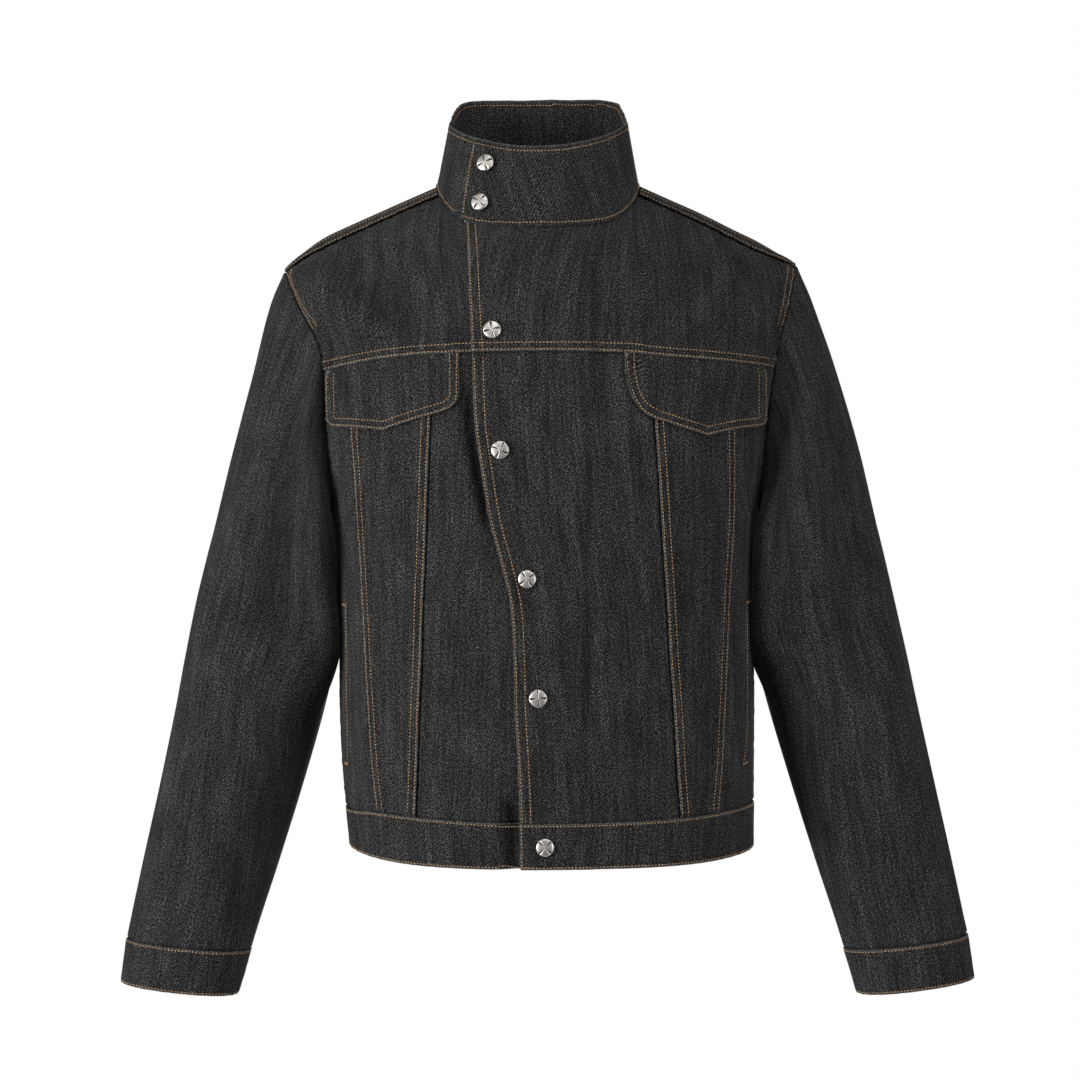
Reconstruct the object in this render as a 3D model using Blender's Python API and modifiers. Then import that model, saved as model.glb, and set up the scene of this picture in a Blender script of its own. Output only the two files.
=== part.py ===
"""Denim jacket with a funnel collar, filled out as it is worn, front toward -Y.

Metres, +Z up. The origin is the centre of the neck at the height where the
collar meets the shoulders. +X is the wearer's left. Every cut piece is a
thin wall of cloth on one smooth form; neighbours keep a small seam gap.
"""
import bpy
import bmesh
from collections import namedtuple
from math import asin, cos, copysign, pi, radians, sin, sqrt
from mathutils import Vector

for leftover in list(bpy.data.objects):
    bpy.data.objects.remove(leftover, do_unlink=True)

# ------------------------------------------------------------------ driving sizes
CLOTH = 0.0012        # one layer of heavy denim
DOUBLED = 0.0020      # folded bands and flaps
SEAM = 0.0004         # gap between two pieces that are sewn together
LAY = 0.0005          # gap between two layers that lie on each other
LAP_LAY = 0.0007      # the same between the two fronts, which bend together
SHOULDER_GAP = 0.0004 # half the gap at the shoulder seam, where the walls bend sharply
ROUNDNESS = 2.4       # exponent of the torso's oval sections
SLEEVE_ROUNDNESS = 2.2
CREST_FRONT = 0.160   # height over which the front falls away from the shoulder crest
CREST_BACK = 0.090
NECK_HALF = 0.0888    # half width of the neck seam
NECK_FRONT_DROP = 0.0680
NECK_DIP = 0.0047     # extra drop at the very front
NECK_BACK_DROP = 0.0151
UNDERARM = -0.292     # height of the bottom of the armhole
SHOULDER_TIP = 0.224
NECK_COLUMNS = 6      # grid columns of the back along half the neck
CREST_COLUMNS = 8     # and along one shoulder
LEFT_LONGER = 0.0060  # how much lower the wearer's left sleeve hangs
BUTTON_RADIUS = 0.0077
BUTTON_HEIGHT = 0.0036

# ------------------------------------------------------------------ tables of the form
Section = namedtuple("Section", "z half front back lean")
TORSO = (                                     # oval sections from the neck down
    Section(0.050, 0.2620, 0.0880, 0.1000, 0.0000),
    Section(-0.040, 0.2500, 0.0960, 0.1080, 0.0000),
    Section(-0.100, 0.2355, 0.1100, 0.1160, 0.0000),
    Section(-0.150, 0.2165, 0.1190, 0.1200, 0.0000),
    Section(-0.200, 0.2025, 0.1235, 0.1200, 0.0000),
    Section(-0.250, 0.1935, 0.1255, 0.1170, 0.0006),
    Section(-0.292, 0.1865, 0.1255, 0.1135, 0.0012),
    Section(-0.350, 0.1835, 0.1240, 0.1100, 0.0012),
    Section(-0.410, 0.1815, 0.1220, 0.1080, 0.0012),
    Section(-0.450, 0.1815, 0.1215, 0.1085, 0.0010),
    Section(-0.500, 0.1803, 0.1218, 0.1100, 0.0012),
    Section(-0.545, 0.1783, 0.1220, 0.1125, 0.0024),
    Section(-0.590, 0.1757, 0.1215, 0.1135, 0.0040),
)

Seam = namedtuple("Seam", "z lap under inner right left")
FRONT_SEAMS = (                # lap: edge that shows; under: hidden edge; inner and the two
    Seam(0.000, -0.0665, 0.0560, 0.0850, 0.1710, 0.1720),                   # outer panel seams
    Seam(-0.036, -0.0628, 0.0530, 0.0860, 0.1690, 0.1700),
    Seam(-0.072, -0.0612, 0.0500, 0.0870, 0.1680, 0.1690),
    Seam(-0.107, -0.0602, 0.0470, 0.0885, 0.1663, 0.1675),
    Seam(-0.150, -0.0585, 0.0435, 0.0905, 0.1652, 0.1665),
    Seam(-0.188, -0.0577, 0.0402, 0.0930, 0.1642, 0.1650),
    Seam(-0.217, -0.0564, 0.0385, 0.0945, 0.1632, 0.1640),
    Seam(-0.251, -0.0518, 0.0370, 0.0965, 0.1613, 0.1636),
    Seam(-0.292, -0.0456, 0.0352, 0.0985, 0.1598, 0.1622),
    Seam(-0.327, -0.0370, 0.0343, 0.1002, 0.1578, 0.1600),
    Seam(-0.364, -0.0292, 0.0330, 0.1025, 0.1563, 0.1573),
    Seam(-0.410, -0.0269, 0.0320, 0.1045, 0.1546, 0.1550),
    Seam(-0.455, -0.0265, 0.0310, 0.1072, 0.1523, 0.1525),
    Seam(-0.500, -0.0245, 0.0292, 0.1092, 0.1498, 0.1496),
    Seam(-0.550, -0.0232, 0.0273, 0.1120, 0.1453, 0.1444),
    Seam(-0.595, -0.0226, 0.0270, 0.1140, 0.1423, 0.1414),
)

Hole = namedtuple("Hole", "z right left back")
ARMHOLE = (                     # distance of the armhole edge from the centre plane
    Hole(-0.0700, 0.2240, 0.2240, 0.2240),
    Hole(-0.1050, 0.2085, 0.2155, 0.2135),
    Hole(-0.1445, 0.1885, 0.2040, 0.2000),
    Hole(-0.2000, 0.1855, 0.1945, 0.1930),
    Hole(-0.2500, 0.1838, 0.1895, 0.1880),
    Hole(-0.2920, 0.1865, 0.1865, 0.1865),
)

Arm = namedtuple("Arm", "z outer inner lean")
SLEEVE_LINES = (                # the sleeve's outer and inner lines at each height
    Arm(-0.0700, 0.2240, 0.1865, 0.0000),
    Arm(-0.1000, 0.2370, 0.1865, 0.0005),
    Arm(-0.1660, 0.2567, 0.1865, 0.0023),
    Arm(-0.2360, 0.2760, 0.1865, 0.0023),
    Arm(-0.2920, 0.2893, 0.1865, 0.0013),
    Arm(-0.3000, 0.2912, 0.1888, 0.0011),
    Arm(-0.3200, 0.2963, 0.1888, 0.0007),
    Arm(-0.3600, 0.3058, 0.1872, 0.0000),
    Arm(-0.4150, 0.3175, 0.1862, 0.0000),
    Arm(-0.4500, 0.3243, 0.1938, 0.0000),
    Arm(-0.5200, 0.3390, 0.2139, -0.0005),
    Arm(-0.5900, 0.3543, 0.2356, -0.0014),
    Arm(-0.6600, 0.3688, 0.2577, -0.0022),
    Arm(-0.7050, 0.3770, 0.2700, -0.0022),
)

Girth = namedtuple("Girth", "z depth forward")
SLEEVE_DEPTHS = (               # here z counts the way down the sleeve, 0 to -1
    Girth(0.00, 0.0560, 0.0000),
    Girth(-0.15, 0.0635, 0.0000),
    Girth(-0.35, 0.0665, 0.0000),
    Girth(-0.60, 0.0600, 0.0020),
    Girth(-0.80, 0.0510, 0.0060),
    Girth(-1.00, 0.0430, 0.0100),
)

Outline = namedtuple("Outline", "z side base")
RIGHT_FLAP = (                  # z counts the way across, 0 at the centre side, -1 at the arm
    Outline(0.00, 0.0694, -0.1860),
    Outline(-0.03, 0.0712, -0.1925),
    Outline(-0.09, 0.0786, -0.1990),
    Outline(-0.30, 0.1030, -0.2060),
    Outline(-0.50, 0.1270, -0.2131),
    Outline(-0.55, 0.1333, -0.2152),
    Outline(-0.60, 0.1395, -0.2143),
    Outline(-0.78, 0.1600, -0.2117),
    Outline(-0.95, 0.1785, -0.2092),
    Outline(-1.00, 0.1832, -0.2040),
)
LEFT_FLAP = (
    Outline(0.00, 0.0700, -0.1690),
    Outline(-0.05, 0.0752, -0.1900),
    Outline(-0.14, 0.0862, -0.2048),
    Outline(-0.35, 0.1125, -0.2150),
    Outline(-0.50, 0.1325, -0.2212),
    Outline(-0.545, 0.1386, -0.2232),
    Outline(-0.60, 0.1452, -0.2214),
    Outline(-0.78, 0.1665, -0.2168),
    Outline(-0.96, 0.1873, -0.2133),
    Outline(-1.00, 0.1914, -0.2085),
)

Fastener = namedtuple("Fastener", "name x z")
BUTTONS = (
    Fastener("button_yoke", -0.0411, -0.1332),
    Fastener("button_chest", -0.0356, -0.2341),
    Fastener("button_waist", -0.0145, -0.3423),
    Fastener("button_low", -0.0066, -0.4427),
    Fastener("button_band", -0.0023, -0.5665),
)
COLLAR_BUTTONS = (              # x: angle round the neck in degrees, z: share of the height
    Fastener("button_collar_top", -30.3, 0.715),
    Fastener("button_collar_base", -30.0, 0.235),
)


def read(table, column, z):
    """Smooth value of one column of a table at z; the rows run from the top down."""
    rows = [row.z for row in table]
    values = [getattr(row, column) for row in table]
    if z >= rows[0]:
        return values[0]
    if z <= rows[-1]:
        return values[-1]
    i = max(k for k in range(len(rows) - 1) if rows[k] >= z)
    slopes = []
    for k in (i, i + 1):
        lo, hi = max(0, k - 1), min(len(rows) - 1, k + 1)
        slopes.append((values[hi] - values[lo]) / (rows[hi] - rows[lo]))
    step = rows[i + 1] - rows[i]
    t = (z - rows[i]) / step
    bend = t * t * (3 - 2 * t)
    return (values[i] * (1 - bend) + values[i + 1] * bend
            + step * (slopes[0] * (t - 2 * t * t + t ** 3) + slopes[1] * (t ** 3 - t * t)))


def mix(a, b, t):
    return a + (b - a) * t


def ease(t):
    t = min(1.0, max(0.0, t))
    return t * t * (3 - 2 * t)


def power(value, exponent):
    return copysign(abs(value) ** exponent, value)


# ------------------------------------------------------------------ the torso's form
def crest(x):
    """Height of the shoulder crest, virtual inside the neck."""
    past = max(0.0, abs(x) - 0.18)
    droop = 0.0072 * sin(pi * min(1.0, max(0.0, (x - 0.03) / 0.196)) ** 3)
    droop += 0.0018 * ease((x - 0.055) / 0.04) * (1 - ease((x - 0.105) / 0.05))
    return 0.0433 - 0.44 * sqrt(x * x + 0.0009) - 7.1 * past * past - droop


def torso_y(x, z, face):
    """Depth of the form at x and z; face is -1 for the front and 1 for the back."""
    share = min(1.0, abs(x) / read(TORSO, "half", z))
    deep = read(TORSO, "front" if face < 0 else "back", z)
    fall = min(1.0, max(0.0, (crest(x) - z) / (CREST_FRONT if face < 0 else CREST_BACK)))
    return face * deep * (1 - share ** ROUNDNESS) ** (1 / ROUNDNESS) * sqrt(1 - (1 - fall) ** 2)


def lean(x, z):
    """The body's sides hang a little to the wearer's left toward the hem."""
    return x + read(TORSO, "lean", z) * min(1.0, abs(x) / read(TORSO, "half", z)) ** 4


def skin(x, z, face, out=0.0):
    """Point of the form, moved outward along its normal by out."""
    y = torso_y(x, z, face)
    if not out:
        return Vector((lean(x, z), y, z))
    d = 0.002
    along_x = (torso_y(x + d, z, face) - torso_y(x - d, z, face)) / (2 * d)
    along_z = (torso_y(x, z + d, face) - torso_y(x, z - d, face)) / (2 * d)
    normal = Vector((along_x, -1.0, along_z)) * -face
    return Vector((lean(x, z), y, z)) + normal.normalized() * out


def turn_of(x, z):
    """Angle round the oval section at which it is x wide."""
    return asin(min(1.0, abs(x) / read(TORSO, "half", z)) ** (ROUNDNESS / 2))


def width_at(turn, z):
    return read(TORSO, "half", z) * sin(turn) ** (2 / ROUNDNESS)


def hole_turn(z, column):
    """Angle of a panel's armhole or side edge at height z."""
    if z <= UNDERARM:
        return radians(90.0)
    return turn_of(read(ARMHOLE, column, z), z)


def yoke_line(x):
    """Height of the yoke's lower edge; it drops toward the arms, more on the right."""
    drop = 0.7 * max(0.0, -x - 0.09) ** 2 + 0.0019 * ease((x - 0.06) / 0.06)
    return -0.1515 - 0.2 * x * x - 0.012 * x - drop


def band_top(x):
    rise = 0.0040 * ease(-x / 0.14) * (1 - ease((-x - 0.145) / 0.033))
    return -0.5480 + 0.0080 * (abs(x) / 0.178) ** 3.5 + rise


def neck(angle):
    """Neck seam; 0 is the front centre, 90 degrees the wearer's left."""
    s, c = sin(angle), cos(angle)
    x = NECK_HALF * power(s, 0.77)
    if c >= 0:
        return x, crest(x) - NECK_FRONT_DROP * c ** 1.3 - NECK_DIP * c ** 40, -1
    return x, crest(x) - NECK_BACK_DROP * c * c, 1


SHOULDER_END = radians(74.2)      # where the forward shoulder seam meets the neck


def neck_angle(x):
    return copysign(asin((abs(x) / NECK_HALF) ** (1 / 0.77)), x)


def shoulder_seam(x):
    """Height of the forward shoulder seam, below the crest."""
    drop = mix(0.0125, 0.0050, ease((abs(x) - 0.185) / 0.039))
    return crest(x) - drop


def seam_end(side):
    """Distance from the centre plane at which the shoulder seam meets the armhole."""
    x = SHOULDER_TIP
    for _ in range(6):
        x = read(ARMHOLE, "left" if side > 0 else "right", shoulder_seam(x * side)) - SEAM / 2
    return x


# ------------------------------------------------------------------ making cloth
jacket = bpy.data.collections.new("denim_jacket")
bpy.context.scene.collection.children.link(jacket)


def finish(name, colour, roughness, metallic=0.0):
    material = bpy.data.materials.new(name)
    material.use_nodes = True
    surface = material.node_tree.nodes["Principled BSDF"]
    surface.inputs["Base Color"].default_value = (*colour, 1.0)
    surface.inputs["Roughness"].default_value = roughness
    surface.inputs["Metallic"].default_value = metallic
    return material


def cloth(name, patches, wall, shade=1.0, weld=False):
    """A wall of cloth: each patch is (columns, rows, place), with place(u, v) on the form.

    u runs to the wearer's left on the front and v runs up, so the faces point out.
    """
    sheet = bmesh.new()
    for columns, rows, place in patches:
        grid = bmesh.ops.create_grid(sheet, x_segments=columns, y_segments=rows, size=0.5)
        for vert in grid["verts"]:
            vert.co = place(vert.co.x + 0.5, vert.co.y + 0.5)
    if weld:
        bmesh.ops.remove_doubles(sheet, verts=sheet.verts, dist=0.00002)
    mesh = bpy.data.meshes.new(name)
    sheet.to_mesh(mesh)
    sheet.free()
    mesh.shade_smooth()
    piece = bpy.data.objects.new(name, mesh)
    jacket.objects.link(piece)
    thick = piece.modifiers.new("wall", 'SOLIDIFY')
    thick.thickness = wall
    thick.offset = -1.0
    tone = 0.028 * shade
    mesh.materials.append(finish(name, (tone, tone, tone * 1.05), 0.85))
    return piece


# ------------------------------------------------------------------ yokes and fronts
def lap_out(x, z):
    """How far the lapping front is lifted by the front that lies under it."""
    past = x - read(FRONT_SEAMS, "under", z)
    return (CLOTH + LAP_LAY) * (1 - ease((past - 0.002) / 0.018))


def yoke_place(side, lapping):
    """Yoke from the straight yoke seam to the neck and the shoulder seam."""
    column = "left" if side > 0 else "right"
    neck_columns = 9 if lapping else 8
    neck_share = neck_columns / (neck_columns + CREST_COLUMNS)
    start = -abs(read(FRONT_SEAMS, "lap" if lapping else "under", -0.036))
    x_neck = NECK_HALF * sin(SHOULDER_END) ** 0.77
    x_end = seam_end(side)

    def top(u):
        share = u / neck_share
        if share < 1:
            x = mix(start, x_neck, share)
            return x, neck(neck_angle(x) * side)[1]
        x = mix(x_neck, x_end, (share - 1) * neck_share / (1 - neck_share))
        return x, shoulder_seam(x * side)

    def place(u, v):
        if side < 0:
            u = 1 - u
        x_top, z_top = top(u)
        z_top -= SHOULDER_GAP
        v = 1 - (1 - v) ** 1.5
        edge_now = -0.0582 if lapping else -0.0435
        far = read(ARMHOLE, column, yoke_line(0.19)) - SEAM / 2
        x_low = mix(edge_now, far, u)
        z_low = yoke_line(x_low * side) + SEAM / 2
        z = mix(z_low, z_top, v)
        x = mix(x_low, x_top, v)
        z_far = mix(yoke_line(far * side), shoulder_seam(x_end * side), v)
        bow = read(ARMHOLE, column, z_far) - SEAM / 2 - mix(far, x_end, v)
        x += bow * ease((u - 0.5) / 0.5)
        if lapping:
            first = mix(edge_now, top(0.0)[0], v)
            x += (read(FRONT_SEAMS, "lap", z) - first) * (1 - ease(u / 0.3))
        return skin(x * side, z, -1, lap_out(x * side, z) if lapping else 0.0)

    return place


cloth("front_yoke_left", [(9 + CREST_COLUMNS, 8, yoke_place(1, True))], CLOTH, 1.05)
cloth("front_yoke_right", [(8 + CREST_COLUMNS, 8, yoke_place(-1, False))], CLOTH, 0.95)


def panel_place(left_edge, right_edge, lapping=False):
    """Front panel between two upright lines, from the waistband to the yoke."""
    def place(u, v):
        z = mix(-0.5450, -0.1500, v)
        for _ in range(2):
            x = mix(left_edge(z) + SEAM / 2, right_edge(z) - SEAM / 2, u)
            z = mix(band_top(x) + SEAM / 2, yoke_line(x) - SEAM / 2, v)
        x = mix(left_edge(z) + SEAM / 2, right_edge(z) - SEAM / 2, u)
        return skin(x, z, -1, lap_out(x, z) if lapping else 0.0)
    return place


def side_place(side):
    """Front side panel from the outer seam to the side seam and the armhole."""
    column = "left" if side > 0 else "right"

    def place(u, v):
        reach = u if side > 0 else 1 - u
        z = mix(-0.5450, -0.1500, v)
        for _ in range(3):
            start = turn_of(read(FRONT_SEAMS, column, z) + SEAM / 2, z)
            turn = mix(start, hole_turn(z, column), 1 - (1 - reach) ** 1.25)
            x = width_at(turn, z)
            z = mix(band_top(x * side) + SEAM / 2, yoke_line(x * side) - SEAM / 2, v)
        x = width_at(turn, z) - (SEAM / 2 * reach if z > UNDERARM else 0.0)
        point = skin(x * side, z, -1)
        if z <= UNDERARM:
            deep = read(TORSO, "front", z)
            point.y = -deep * cos(turn) ** (2 / ROUNDNESS)
        point.y = min(point.y, -0.0004)
        return point
    return place


def seam_at(column, side):
    return lambda z: side * read(FRONT_SEAMS, column, z)


cloth("front_centre_left", [(11, 15, panel_place(seam_at("lap", 1), seam_at("inner", 1), True))],
      CLOTH, 1.1)
cloth("front_centre_right", [(11, 15, panel_place(seam_at("inner", -1), seam_at("under", 1)))],
      CLOTH, 0.9)
cloth("front_middle_left", [(4, 15, panel_place(seam_at("inner", 1), seam_at("left", 1)))], CLOTH, 0.95)
cloth("front_middle_right", [(4, 15, panel_place(seam_at("right", -1), seam_at("inner", -1)))], CLOTH, 1.0)
cloth("front_side_left", [(6, 15, side_place(1))], CLOTH, 1.0)
cloth("front_side_right", [(6, 15, side_place(-1))], CLOTH, 1.05)


# ------------------------------------------------------------------ back
def back_place(u, v):
    """Back from the waistband up to the neck and the shoulder crests."""
    across = 1 - 2 * u
    side = copysign(1.0, across)
    k = abs(across)
    neck_share = NECK_COLUMNS / (NECK_COLUMNS + CREST_COLUMNS)
    if k <= neck_share:
        x_top, z_top, _ = neck(radians(180.0 - 90.0 * k / neck_share) * side)
        x_top = abs(x_top)
    else:
        x_top = mix(NECK_HALF, SHOULDER_TIP, (k - neck_share) / (1 - neck_share))
        z_top = crest(x_top * side)
    k_top = turn_of(x_top, z_top) / hole_turn(min(z_top, -0.07), "back")
    rise = 1 - (1 - v) ** 1.7
    z = mix(-0.5450, z_top, rise)
    share = mix(k, min(1.0, k_top), ease(rise / 0.9))
    turn = share * hole_turn(min(z, -0.07), "back")
    x = width_at(turn, z)
    z = mix(band_top(x) + SEAM / 2, z_top, rise)
    turn = share * hole_turn(min(z, -0.07), "back")
    x = width_at(turn, z)
    if z > UNDERARM:
        x -= SEAM * k ** 12 * (1 - ease((rise - 0.95) / 0.05))
    y = torso_y(x * side, z, 1)
    if z <= UNDERARM:
        y = read(TORSO, "back", z) * cos(turn) ** (2 / ROUNDNESS)
        y = max(y, 0.0004)
    return Vector((lean(x * side, z), y, z))


def strip_place(side):
    """Part of the back that comes over the crest to the forward shoulder seam."""
    def place(u, v):
        k, r = (u, 1 - v) if side > 0 else (1 - u, 1 - v)
        x_inner = neck(mix(radians(90.0), SHOULDER_END, r))[0]
        x_outer = mix(SHOULDER_TIP, seam_end(side), r * r)
        x = mix(x_inner, x_outer, k) * side
        drop = crest(x) - shoulder_seam(x)
        z = crest(x) - drop * r ** (1.3 + 0.7 * k)
        return Vector((x, torso_y(x, z, -1), z + SHOULDER_GAP * r))
    return place


cloth("back", [(2 * (NECK_COLUMNS + CREST_COLUMNS), 19, back_place),
               (CREST_COLUMNS, 3, strip_place(1)), (CREST_COLUMNS, 3, strip_place(-1))],
      CLOTH, 1.0, weld=True)


# ------------------------------------------------------------------ sleeves and cuffs
def armhole(angle, side):
    """Armhole loop; 0 is the shoulder tip, 90 degrees the front, 180 the underarm."""
    z = mix(-0.0700, UNDERARM, (1 - cos(angle)) / 2)
    front = sin(angle) >= 0
    column = ("left" if side > 0 else "right") if front else "back"
    x = read(ARMHOLE, column, z)
    return Vector((lean(x * side, z) * side, torso_y(x * side, z, -1 if front else 1), z))


def sleeve_ring(angle, way, side):
    """Round section of the sleeve at a share of the way down it; past 1 is the cuff."""
    longer = LEFT_LONGER * way if side > 0 else 0.0
    z_outer = mix(-0.0700, -0.6520, way) - longer
    z_inner = mix(UNDERARM, -0.6640, way ** 1.6 if way < 1 else 1 + (way - 1) * 1.6) - longer
    outer = Vector((read(SLEEVE_LINES, "outer", z_outer), 0.0, z_outer))
    inner = Vector((read(SLEEVE_LINES, "inner", z_inner), 0.0, z_inner))
    deep = read(SLEEVE_DEPTHS, "depth", -way)
    forward = read(SLEEVE_DEPTHS, "forward", -way)
    middle = (outer + inner) / 2 + Vector((0.0, -forward, 0.0))
    across = (outer - inner) / 2 * power(cos(angle), 2 / SLEEVE_ROUNDNESS)
    return middle + across + Vector((0.0, -deep * power(sin(angle), 2 / SLEEVE_ROUNDNESS), 0.0))


def beside_body(y, z, side):
    """How far the body's form reaches sideways at a depth on its front."""
    across = max(0.0, 1 - (abs(y) / read(TORSO, "front", z)) ** ROUNDNESS) ** (1 / ROUNDNESS)
    return lean(side * read(TORSO, "half", z) * across, z) * side


def sleeve_place(side):
    def place(u, v):
        way = 1 - v
        angle = 2 * pi * (0.5 - u) * side
        ring = sleeve_ring(angle, way, side)
        settle = ease(way / 0.30)
        ring += (armhole(angle, side) - sleeve_ring(angle, 0.0, side)) * (1 - settle)
        bulge = sin(pi * min(1.0, way / 0.45)) * max(0.0, sin(angle)) ** 2
        ring.y -= 0.004 * bulge
        press = ease(way / 0.25) * (1 - ease((way - 0.44) / 0.20))
        front = max(0.0, sin(angle))
        ring.x -= 0.040 * press * front * ease(front / 0.3) * ((1 - cos(angle)) / 2) ** 2
        if cos(angle) < 0:
            short = beside_body(ring.y, ring.z, side) + 0.0016 * ease(way / 0.2) - ring.x
            ring.x += max(0.0, short) * ease(front / 0.12)
        start = (1 - way) ** 6
        ring += Vector((0.0010, 0.0008 * sin(angle), -0.0007 * cos(angle))) * start
        ring.x += side * read(SLEEVE_LINES, "lean", ring.z) * ease(way / 0.15)
        return Vector((ring.x * side, ring.y, ring.z))
    return place


def cuff_place(side):
    def place(u, v):
        angle = 2 * pi * (0.5 - u) * side
        upper, lower = sleeve_ring(angle, 1.0, side), sleeve_ring(angle, 1.065, side)
        centre = (sleeve_ring(0.0, 1.0, side) + sleeve_ring(pi, 1.0, side)) / 2
        down = 1 - v
        way = Vector((lower.x - upper.x, 0.0, lower.z - upper.z))
        point = upper + Vector((0.0, 0.0, -0.0006)) + way * down
        away = Vector((point.x - centre.x - way.x * down, point.y - centre.y, 0.0)).normalized()
        point += away * (0.0006 - 0.0016 * down)
        return Vector((point.x * side + read(SLEEVE_LINES, "lean", point.z), point.y, point.z))
    return place


for side, word in ((1, "left"), (-1, "right")):
    cloth("sleeve_" + word, [(26, 19, sleeve_place(side))], CLOTH, 1.0, weld=True)
    cloth("cuff_" + word, [(26, 3, cuff_place(side))], DOUBLED, 1.1, weld=True)


# ------------------------------------------------------------------ collar
COLLAR_LAP = radians(-43.0)       # end that shows, on the wearer's right of centre
COLLAR_UNDER = radians(24.0)      # end that lies under


def collar_point(angle, rise):
    x, z, face = neck(angle)
    s, c = sin(angle), cos(angle)
    base = Vector((x - 0.0020 * max(0.0, s) ** 2, torso_y(x, z, face), z + 0.0013))
    square = 5.0 if s > 0 else 3.4
    shape = 2 / (2.1 if c > 0 else 2.1 + square * ease(-c))
    y = -0.005 - 0.061 * power(c, shape)
    lip = 0.0551 - 0.0274 * c ** 1.5 if c > 0 else 0.0551 + 0.0305 * abs(c) ** shape + 0.0018 * s * c
    top = Vector((0.0780 * power(s, shape), y, lip))
    return base.lerp(top, rise)


def collar_skin(angle, rise, out):
    d = 0.01
    round_way = collar_point(angle + d, rise) - collar_point(angle - d, rise)
    up_way = collar_point(angle, rise + d) - collar_point(angle, rise - d)
    return collar_point(angle, rise) + round_way.cross(up_way).normalized() * out


def collar_out(angle, rise):
    """Lift over the end that lies under, and the funnel's soft swell."""
    lift = (DOUBLED + LAY) * (1 - ease((angle - COLLAR_UNDER - 0.03) / 0.35))
    return lift + 0.0004 + 0.0024 * sin(pi * rise) * max(0.0, cos(angle))


def collar_place(u, v):
    angle = mix(COLLAR_LAP, 2 * pi + COLLAR_UNDER, u)
    return collar_skin(angle, v, collar_out(angle, v))


cloth("collar", [(48, 5, collar_place)], DOUBLED, 1.1)


# ------------------------------------------------------------------ waistband
def band_point(angle, rise, out):
    s, c = sin(angle), cos(angle)
    hem = -0.5865 + 0.0080 * s ** 4 - 0.0012 * s + 0.0035 * max(0.0, -s) ** 1.5
    top = 0.178 * power(s if c > 0 else abs(s), 2 / ROUNDNESS)
    z = mix(hem, band_top(top), rise)
    shape = 2 / ROUNDNESS
    half, deep = read(TORSO, "half", z), read(TORSO, "front" if c > 0 else "back", z)
    grow = out + 0.0006
    x = (half + grow) * power(s, shape)
    return Vector((lean(x, z), -(deep + grow) * power(c, shape), z - 0.0002))


BAND_LAP = -asin((0.0226 / 0.1735) ** (ROUNDNESS / 2))
BAND_UNDER = asin((0.0270 / 0.1735) ** (ROUNDNESS / 2))


def band_place(u, v):
    angle = mix(BAND_LAP, 2 * pi + BAND_UNDER, u)
    lift = (DOUBLED + LAY) * (1 - ease((angle - BAND_UNDER - 0.03) / 0.25))
    return band_point(angle, v, lift)


cloth("waistband", [(60, 3, band_place)], DOUBLED, 1.1)


# ------------------------------------------------------------------ chest pocket flaps
def flap_place(outline, side):
    def place(u, v):
        across = u if side > 0 else 1 - u
        x = read(outline, "side", -across) * side
        top = yoke_line(x) - SEAM
        z = mix(read(outline, "base", -across), top, v)
        return skin(x, z, -1, DOUBLED + LAY)
    return place


cloth("flap_left", [(11, 4, flap_place(LEFT_FLAP, 1))], DOUBLED, 1.25)
cloth("flap_right", [(11, 4, flap_place(RIGHT_FLAP, -1))], DOUBLED, 1.25)


# ------------------------------------------------------------------ buttons
def button(name, seat, facing):
    """Turned metal cap: a flat seat, a rolled rim and a low dome."""
    r, h = BUTTON_RADIUS, BUTTON_HEIGHT
    profile = ((0.0, h * 0.92), (r * 0.45, h * 0.86), (r * 0.74, h * 0.72), (r * 0.86, h * 0.98),
               (r * 0.97, h * 0.80), (r, h * 0.45), (r * 0.90, h * 0.10), (r * 0.70, 0.0), (0.0, 0.0))
    mesh = bpy.data.meshes.new(name)
    mesh.from_pydata([(x, 0.0, z) for x, z in profile], [(i, i + 1) for i in range(len(profile) - 1)], [])
    cap = bpy.data.objects.new(name, mesh)
    jacket.objects.link(cap)
    turned = cap.modifiers.new("turned", 'SCREW')
    turned.steps = turned.render_steps = 18
    turned.use_merge_vertices = True
    turned.merge_threshold = 0.00001
    mesh.materials.append(finish(name, (0.62, 0.62, 0.62), 0.3, 1.0))
    cap.location = seat + facing * LAY
    cap.rotation_euler = facing.to_track_quat('Z', 'Y').to_euler()


for item in BUTTONS:
    raised = CLOTH + LAY
    if item.name == "button_band":
        angle = -asin((abs(item.x) / 0.175) ** (ROUNDNESS / 2))
        seat = band_point(angle, 0.5, DOUBLED + LAY)
        facing = Vector((0.0, -1.0, 0.0))
    else:
        seat = skin(item.x, item.z, -1, raised)
        facing = (skin(item.x, item.z, -1, raised + 0.01) - seat).normalized()
    button(item.name, seat, facing)
for item in COLLAR_BUTTONS:
    angle = radians(item.x)
    lift = collar_out(angle, item.z)
    seat = collar_skin(angle, item.z, lift)
    button(item.name, seat, (collar_skin(angle, item.z, lift + 0.01) - seat).normalized())
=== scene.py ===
"""Raw black denim jacket with a funnel collar, filled out as it is worn.

Metres, +Z up, front toward -Y, +X the wearer's left; the origin is the
centre of the neck. Each section makes one piece, or one pair, as it is sewn.
"""
import random
from bisect import bisect
from collections import namedtuple
from math import asin, cos, copysign, exp, pi, radians, sin, sqrt, tau

import bmesh
import bpy
from mathutils import Matrix, Vector
from mathutils.bvhtree import BVHTree


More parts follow.
